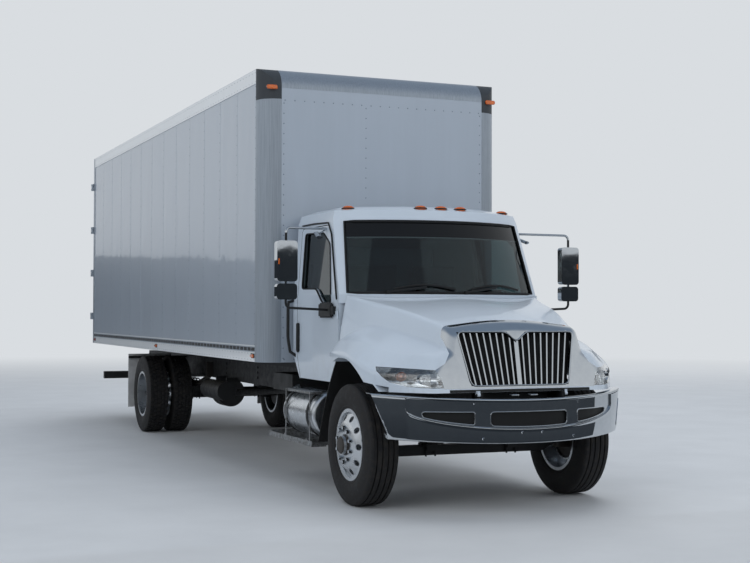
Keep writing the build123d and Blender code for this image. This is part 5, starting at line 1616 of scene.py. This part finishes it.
class TRUCK_OT_marker_lamps(Piece, bpy.types.Operator):
    """Small lamps on the van body's rails, corners and tail"""
    bl_idname = "truck.marker_lamps"
    bl_label = "Marker lamps"

    def execute(self, context):
        prepare(context.scene)
        amber, red, bezels = bmesh.new(), bmesh.new(), bmesh.new()
        for sign, _ in HANDS:
            face = sign * BOX_HALF
            for y, lens in (
                (BOX_FRONT_Y + 0.260, amber), (BOX_FRONT_Y + 4.300, amber), (BOX_REAR_Y - 0.180, red)
            ):
                add_box(
                    bezels, (face - sign * 0.002, y - 0.055, 1.166), (face + sign * 0.006, y + 0.055, 1.212),
                    0.003
                )
                add_box(lens, (face, y - 0.048, 1.172), (face + sign * 0.018, y + 0.048, 1.206), 0.007, 3)
            x = sign * 1.195
            add_box(
                amber, (x - 0.055, BOX_FRONT_Y - 0.014, 3.790), (x + 0.055, BOX_FRONT_Y + 0.010, 3.832),
                0.008, 3
            )
            back = BOX_REAR_Y
            for low_x, high_x in ((1.02, 1.16), (1.175, 1.245)):
                add_box(
                    red, (sign * low_x, back - 0.004, 1.165), (sign * high_x, back + 0.022, 1.225), 0.008, 3
                )
            add_box(red, (sign * 1.10, back - 0.004, 3.900), (sign * 1.20, back + 0.020, 3.945), 0.008, 3)
        for x in (-0.20, 0.0, 0.20):
            add_box(
                red, (x - 0.05, BOX_REAR_Y - 0.004, 3.900), (x + 0.05, BOX_REAR_Y + 0.020, 3.945), 0.008, 3
            )
        piece_from("marker_lenses_amber", amber, "chassis", "amber_lens", angle=50)
        piece_from("marker_lenses_red", red, "chassis", "red_lens", angle=50)
        piece_from("marker_bezels", bezels, "chassis", "black_plastic", angle=50)
        return {"FINISHED"}


class TRUCK_OT_rear_door_trim(Piece, bpy.types.Operator):
    """Bright lock rods, guides and hinges on the rear doors, and a black rubber seal round each door"""
    bl_idname = "truck.rear_door_trim"
    bl_label = "Rear door trim"

    def execute(self, context):
        prepare(context.scene)
        face_y = BOX_REAR_Y + 0.005
        low_z, high_z, width = 1.263, 3.823, 0.018
        for sign, word in HANDS:
            node = "rear_door_" + word
            door = smooth_copy(node, node, "box_skin").data
            door.materials.append(finishes["polished_aluminium"])
            for face in door.polygons:
                face.material_index = int(face.center.y > face_y + 0.0005)
            far = max(abs(v.co.x) for v in door.vertices if face_y - 0.001 < v.co.y < face_y + 0.001
                      and not 1.5 < v.co.z < 3.6)
            near = 0.005
            form = bmesh.new()
            for low, high in (
                ((near, low_z), (near + width, high_z)), ((far - width, low_z), (far - 0.001, high_z)),
                ((near + width, low_z), (far - width, low_z + width)),
                ((near + width, high_z - width), (far - width, high_z)),
            ):
                add_box(
                    form, (sign * low[0], face_y - 0.0005, low[1]), (sign * high[0], face_y + 0.002, high[1]),
                    0.0008
                )
            piece_from("rear_door_seal_" + word, form, node, "black_rubber")
        return {"FINISHED"}


class TRUCK_OT_tank_straps(Piece, bpy.types.Operator):
    """Black rubber-lined straps round the fuel tank"""
    bl_idname = "truck.tank_straps"
    bl_label = "Tank straps"

    def execute(self, context):
        prepare(context.scene)
        tank_x, tank_z, radius, steps = -0.930, 0.690, 0.2160, 64
        half_wide, half_thick = 0.026, 0.0025
        section = [(-half_wide, -half_thick), (half_wide, -half_thick), (half_wide, half_thick),
                   (-half_wide, half_thick)]
        turns = [2 * math.pi * i / steps for i in range(steps)]
        rings = [
            [(tank_x + radius * math.cos(t), FRONT_AXLE_Y + y, tank_z + radius * math.sin(t)) for t in turns]
            for y in (0.963, 1.558)
        ]
        swept("tank_straps", rings, section, "chassis", "black_rubber", True, Vector((0, 1, 0)))
        return {"FINISHED"}


class TRUCK_OT_chassis_bolts(Piece, bpy.types.Operator):
    """Bolts along the frame rails and the springs' U-bolts"""
    bl_idname = "truck.chassis_bolts"
    bl_label = "Chassis bolts"

    def execute(self, context):
        prepare(context.scene)
        spots = []
        for sign, _ in HANDS:
            for y in (1.900, 3.100, 4.600, 5.900, 8.650, 10.170):
                for z in (0.840, 0.900, 0.960):
                    spots += heads([Vector((sign * 0.430, FRONT_AXLE_Y + y + 0.040, z))], (sign, 0, 0))
        shape = head_shape(0.014, 0.013, 0.011, 6)
        scatter("rail_bolts", "fasteners", spots, "chassis", "chassis_steel", **shape)
        bolts = []
        for sign, _ in HANDS:
            for x, y, low, high, half_x, reach in (
                (0.390, FRONT_AXLE_Y, 0.390, 0.560, 0.044, 0.060),
                (0.470, REAR_AXLE_Y, 0.430, 0.695, 0.049, 0.078)
            ):
                bow = ((-1, low), (-1, high), (-0.6, high + 0.014), (0.6, high + 0.014), (1, high), (1, low))
                for shift in (-reach, reach):
                    bolts.append([(sign * x + half_x * across, y + shift, z) for across, z in bow])
        swept(
            "spring_u_bolts", bolts, round_section(0.009, 8), "chassis", "chassis_steel", up=Vector((0, 1, 0))
        )
        return {"FINISHED"}


class TRUCK_OT_stage(bpy.types.Operator):
    """Pale floor, soft lamps, a pale surround and the camera at the photograph's angle"""
    bl_idname = "truck.stage"
    bl_label = "Stage"
    surround = "#D9DDE1"

    def floor(self):
        """A wide floor that fades into the surround far off."""
        mesh = bpy.data.meshes.new("floor")
        reach = 300
        mesh.from_pydata(
            [(-reach, -reach, 0), (reach, -reach, 0), (reach, reach, 0), (-reach, reach, 0)], [],
            [(0, 1, 2, 3)]
        )
        floor = bpy.data.objects.new("floor", mesh)
        bpy.context.scene.collection.objects.link(floor)
        material, tree, shader, position = new_finish("Pale screed", {"Roughness": 0.75})
        away = add_node(tree, "ShaderNodeVectorMath", {0: position}, operation="LENGTH").outputs["Value"]
        far = add_node(
            tree, "ShaderNodeMapRange", {"Value": away, "From Min": 9.0, "From Max": 34.0},
            interpolation_type="SMOOTHSTEP",
        )
        shade = patches(tree, position, 900)
        fill(tree, shader, {"Base Color": layered(tree, linear("#D0D4D8"), (shade, linear("#D7DBDF")))})
        glow = add_node(tree, "ShaderNodeEmission", {"Color": linear(self.surround), "Strength": 1.0})
        mixed = add_node(
            tree, "ShaderNodeMixShader",
            {0: far.outputs["Result"], 1: shader.outputs["BSDF"], 2: glow.outputs["Emission"]},
        )
        output = tree.nodes["Material Output"]
        tree.links.new(mixed.outputs["Shader"], output.inputs["Surface"])
        mesh.materials.append(material)

    def sky(self, scene):
        """A plain surround, brighter to the eye than as a light."""
        world = bpy.data.worlds.new("Surround")
        scene.world = world
        world.use_nodes = True
        tree = world.node_tree
        rays = add_node(tree, "ShaderNodeLightPath").outputs
        seen = rays["Is Camera Ray"]
        for kind in ("Is Glossy Ray", "Is Transmission Ray"):
            seen = add_node(tree, "ShaderNodeMath", {0: seen, 1: rays[kind]}, operation="MAXIMUM").outputs[0]
        strength = add_node(tree, "ShaderNodeMapRange", {"Value": seen, "To Min": 0.55, "To Max": 1.0})
        upward = add_node(tree, "ShaderNodeTexCoord").outputs["Generated"]
        height = add_node(tree, "ShaderNodeSeparateXYZ", {0: upward}).outputs["Z"]
        overhead = add_node(
            tree, "ShaderNodeMapRange", {"Value": height, "From Min": 0.26, "From Max": 0.85},
            interpolation_type="SMOOTHSTEP",
        )
        fill(tree, tree.nodes["Background"], {
            "Color": layered(tree, linear(self.surround), (overhead.outputs["Result"], linear("#7F8FA3"))),
            "Strength": strength.outputs["Result"],
        })

    def cards(self):
        """Dark cards far off along the horizon, seen only in gloss paint and bright metal, which would
        look flat in an all-white room."""
        far, height = 32, 3.6
        corners = [(-far, -far), (far, -far), (far, far), (-far, far)]
        mesh = bpy.data.meshes.new("horizon_cards")
        points = [(x, y, z) for x, y in corners for z in (0, height)]
        mesh.from_pydata(points, [], [(2 * i, 2 * i + 1, (2 * i + 3) % 8, (2 * i + 2) % 8) for i in range(4)])
        material, *_ = new_finish("Charcoal felt", {"Roughness": 0.9, "Base Color": linear("#2E3338")})
        apron = bpy.data.meshes.new("floor_card")
        near, wide, deep, lift = FRONT_AXLE_Y - 1.4, 17.0, 19.0, 0.02
        apron.from_pydata(
            [(-wide, near - deep, lift), (wide, near - deep, lift), (wide, near, lift), (-wide, near, lift)],
            [], [(0, 1, 2, 3)]
        )
        for made in (mesh, apron):
            made.materials.append(material)
            card = bpy.data.objects.new(made.name, made)
            bpy.context.scene.collection.objects.link(card)
            card.visible_camera = False
            card.visible_diffuse = False
            card.visible_shadow = False
            card.visible_transmission = False

    def lamps(self, scene):
        """Four large soft lamps: ahead on the right, ahead on the left, over the body and behind it."""
        for name, place, aim, width, power in (
            ("Right softbox", (-20, -15, 15), (0, -1, 1.6), 20, 2100),
            ("Front softbox", (12, -22, 14), (0, -4, 1.5), 18, 1500),
            ("Top softbox", (2, 2, 18), (0, 0, 2), 16, 1500),
            ("Rear softbox", (14, 20, 13), (0, 3, 2), 18, 1500),
        ):
            lamp = bpy.data.lights.new(name, "AREA")
            lamp.shape = "SQUARE"
            lamp.size = width
            lamp.energy = power
            holder = bpy.data.objects.new(name, lamp)
            holder.location = place
            holder.rotation_mode = "QUATERNION"
            holder.rotation_quaternion = (Vector(aim) - Vector(place)).to_track_quat("-Z", "Y")
            holder.visible_glossy = False
            scene.collection.objects.link(holder)

    def execute(self, context):
        scene = context.scene
        self.floor()
        self.cards()
        self.sky(scene)
        self.lamps(scene)
        # The camera's place, turns in radians and lens, as fitted to the photograph
        place = (-5.1949, FRONT_AXLE_Y - 10.2015, 1.6233)
        yaw, pitch, roll = 0.39973, 0.02331, 0.00248
        focal_pixels, frame_width = 1306.18, 750
        ahead = Vector((math.sin(yaw) * math.cos(pitch), math.cos(yaw) * math.cos(pitch), math.sin(pitch)))
        lens = bpy.data.cameras.new("Photo camera")
        lens.sensor_width = 36.0
        lens.lens = lens.sensor_width * focal_pixels / frame_width
        lens.clip_end = 500
        camera = bpy.data.objects.new("Photo camera", lens)
        camera.location = place
        camera.rotation_mode = "QUATERNION"
        turned = ahead.to_track_quat("-Z", "Y")
        camera.rotation_quaternion = turned @ Matrix.Rotation(roll, 3, "Z").to_quaternion()
        scene.collection.objects.link(camera)
        scene.camera = camera
        scene.view_settings.view_transform = "Standard"
        return {"FINISHED"}


class TRUCK_PT_panel(bpy.types.Panel):
    """The truck's sizes, colours and steps"""
    bl_idname = "TRUCK_PT_panel"
    bl_label = "Box truck"
    bl_space_type = "VIEW_3D"
    bl_region_type = "UI"
    bl_category = "Box truck"

    def draw(self, context):
        for group in (context.scene.truck_sizes, context.scene.truck_colours):
            box = self.layout.box()
            for name in group.__annotations__:
                box.prop(group, name)
        for operator in STEPS:
            self.layout.operator(operator.bl_idname)


STEPS = (
    TRUCK_OT_finishes, TRUCK_OT_smooth_forms, TRUCK_OT_tyres, TRUCK_OT_wheel_hardware, TRUCK_OT_body_rivets,
    TRUCK_OT_body_trim, TRUCK_OT_glazing_seals, TRUCK_OT_wipers, TRUCK_OT_mirror_faces,
    TRUCK_OT_mirror_mounts, TRUCK_OT_door_trim, TRUCK_OT_grille_screen, TRUCK_OT_headlamp_units,
    TRUCK_OT_roof_lamps, TRUCK_OT_bumper, TRUCK_OT_bumper_trim, TRUCK_OT_seats, TRUCK_OT_marker_lamps,
    TRUCK_OT_rear_door_trim, TRUCK_OT_tank_straps, TRUCK_OT_chassis_bolts, TRUCK_OT_stage
)
CLASSES = (TruckColours, TruckSizes, *STEPS, TRUCK_PT_panel)


def register():
    for kind in CLASSES:
        bpy.utils.register_class(kind)
    bpy.types.Scene.truck_colours = bpy.props.PointerProperty(type=TruckColours)
    bpy.types.Scene.truck_sizes = bpy.props.PointerProperty(type=TruckSizes)


def unregister():
    del bpy.types.Scene.truck_sizes
    del bpy.types.Scene.truck_colours
    for kind in reversed(CLASSES):
        bpy.utils.unregister_class(kind)


def main():
    register()
    for operator in STEPS:
        group, name = operator.bl_idname.split(".")
        getattr(getattr(bpy.ops, group), name)()


if __name__ == "__main__":
    main()
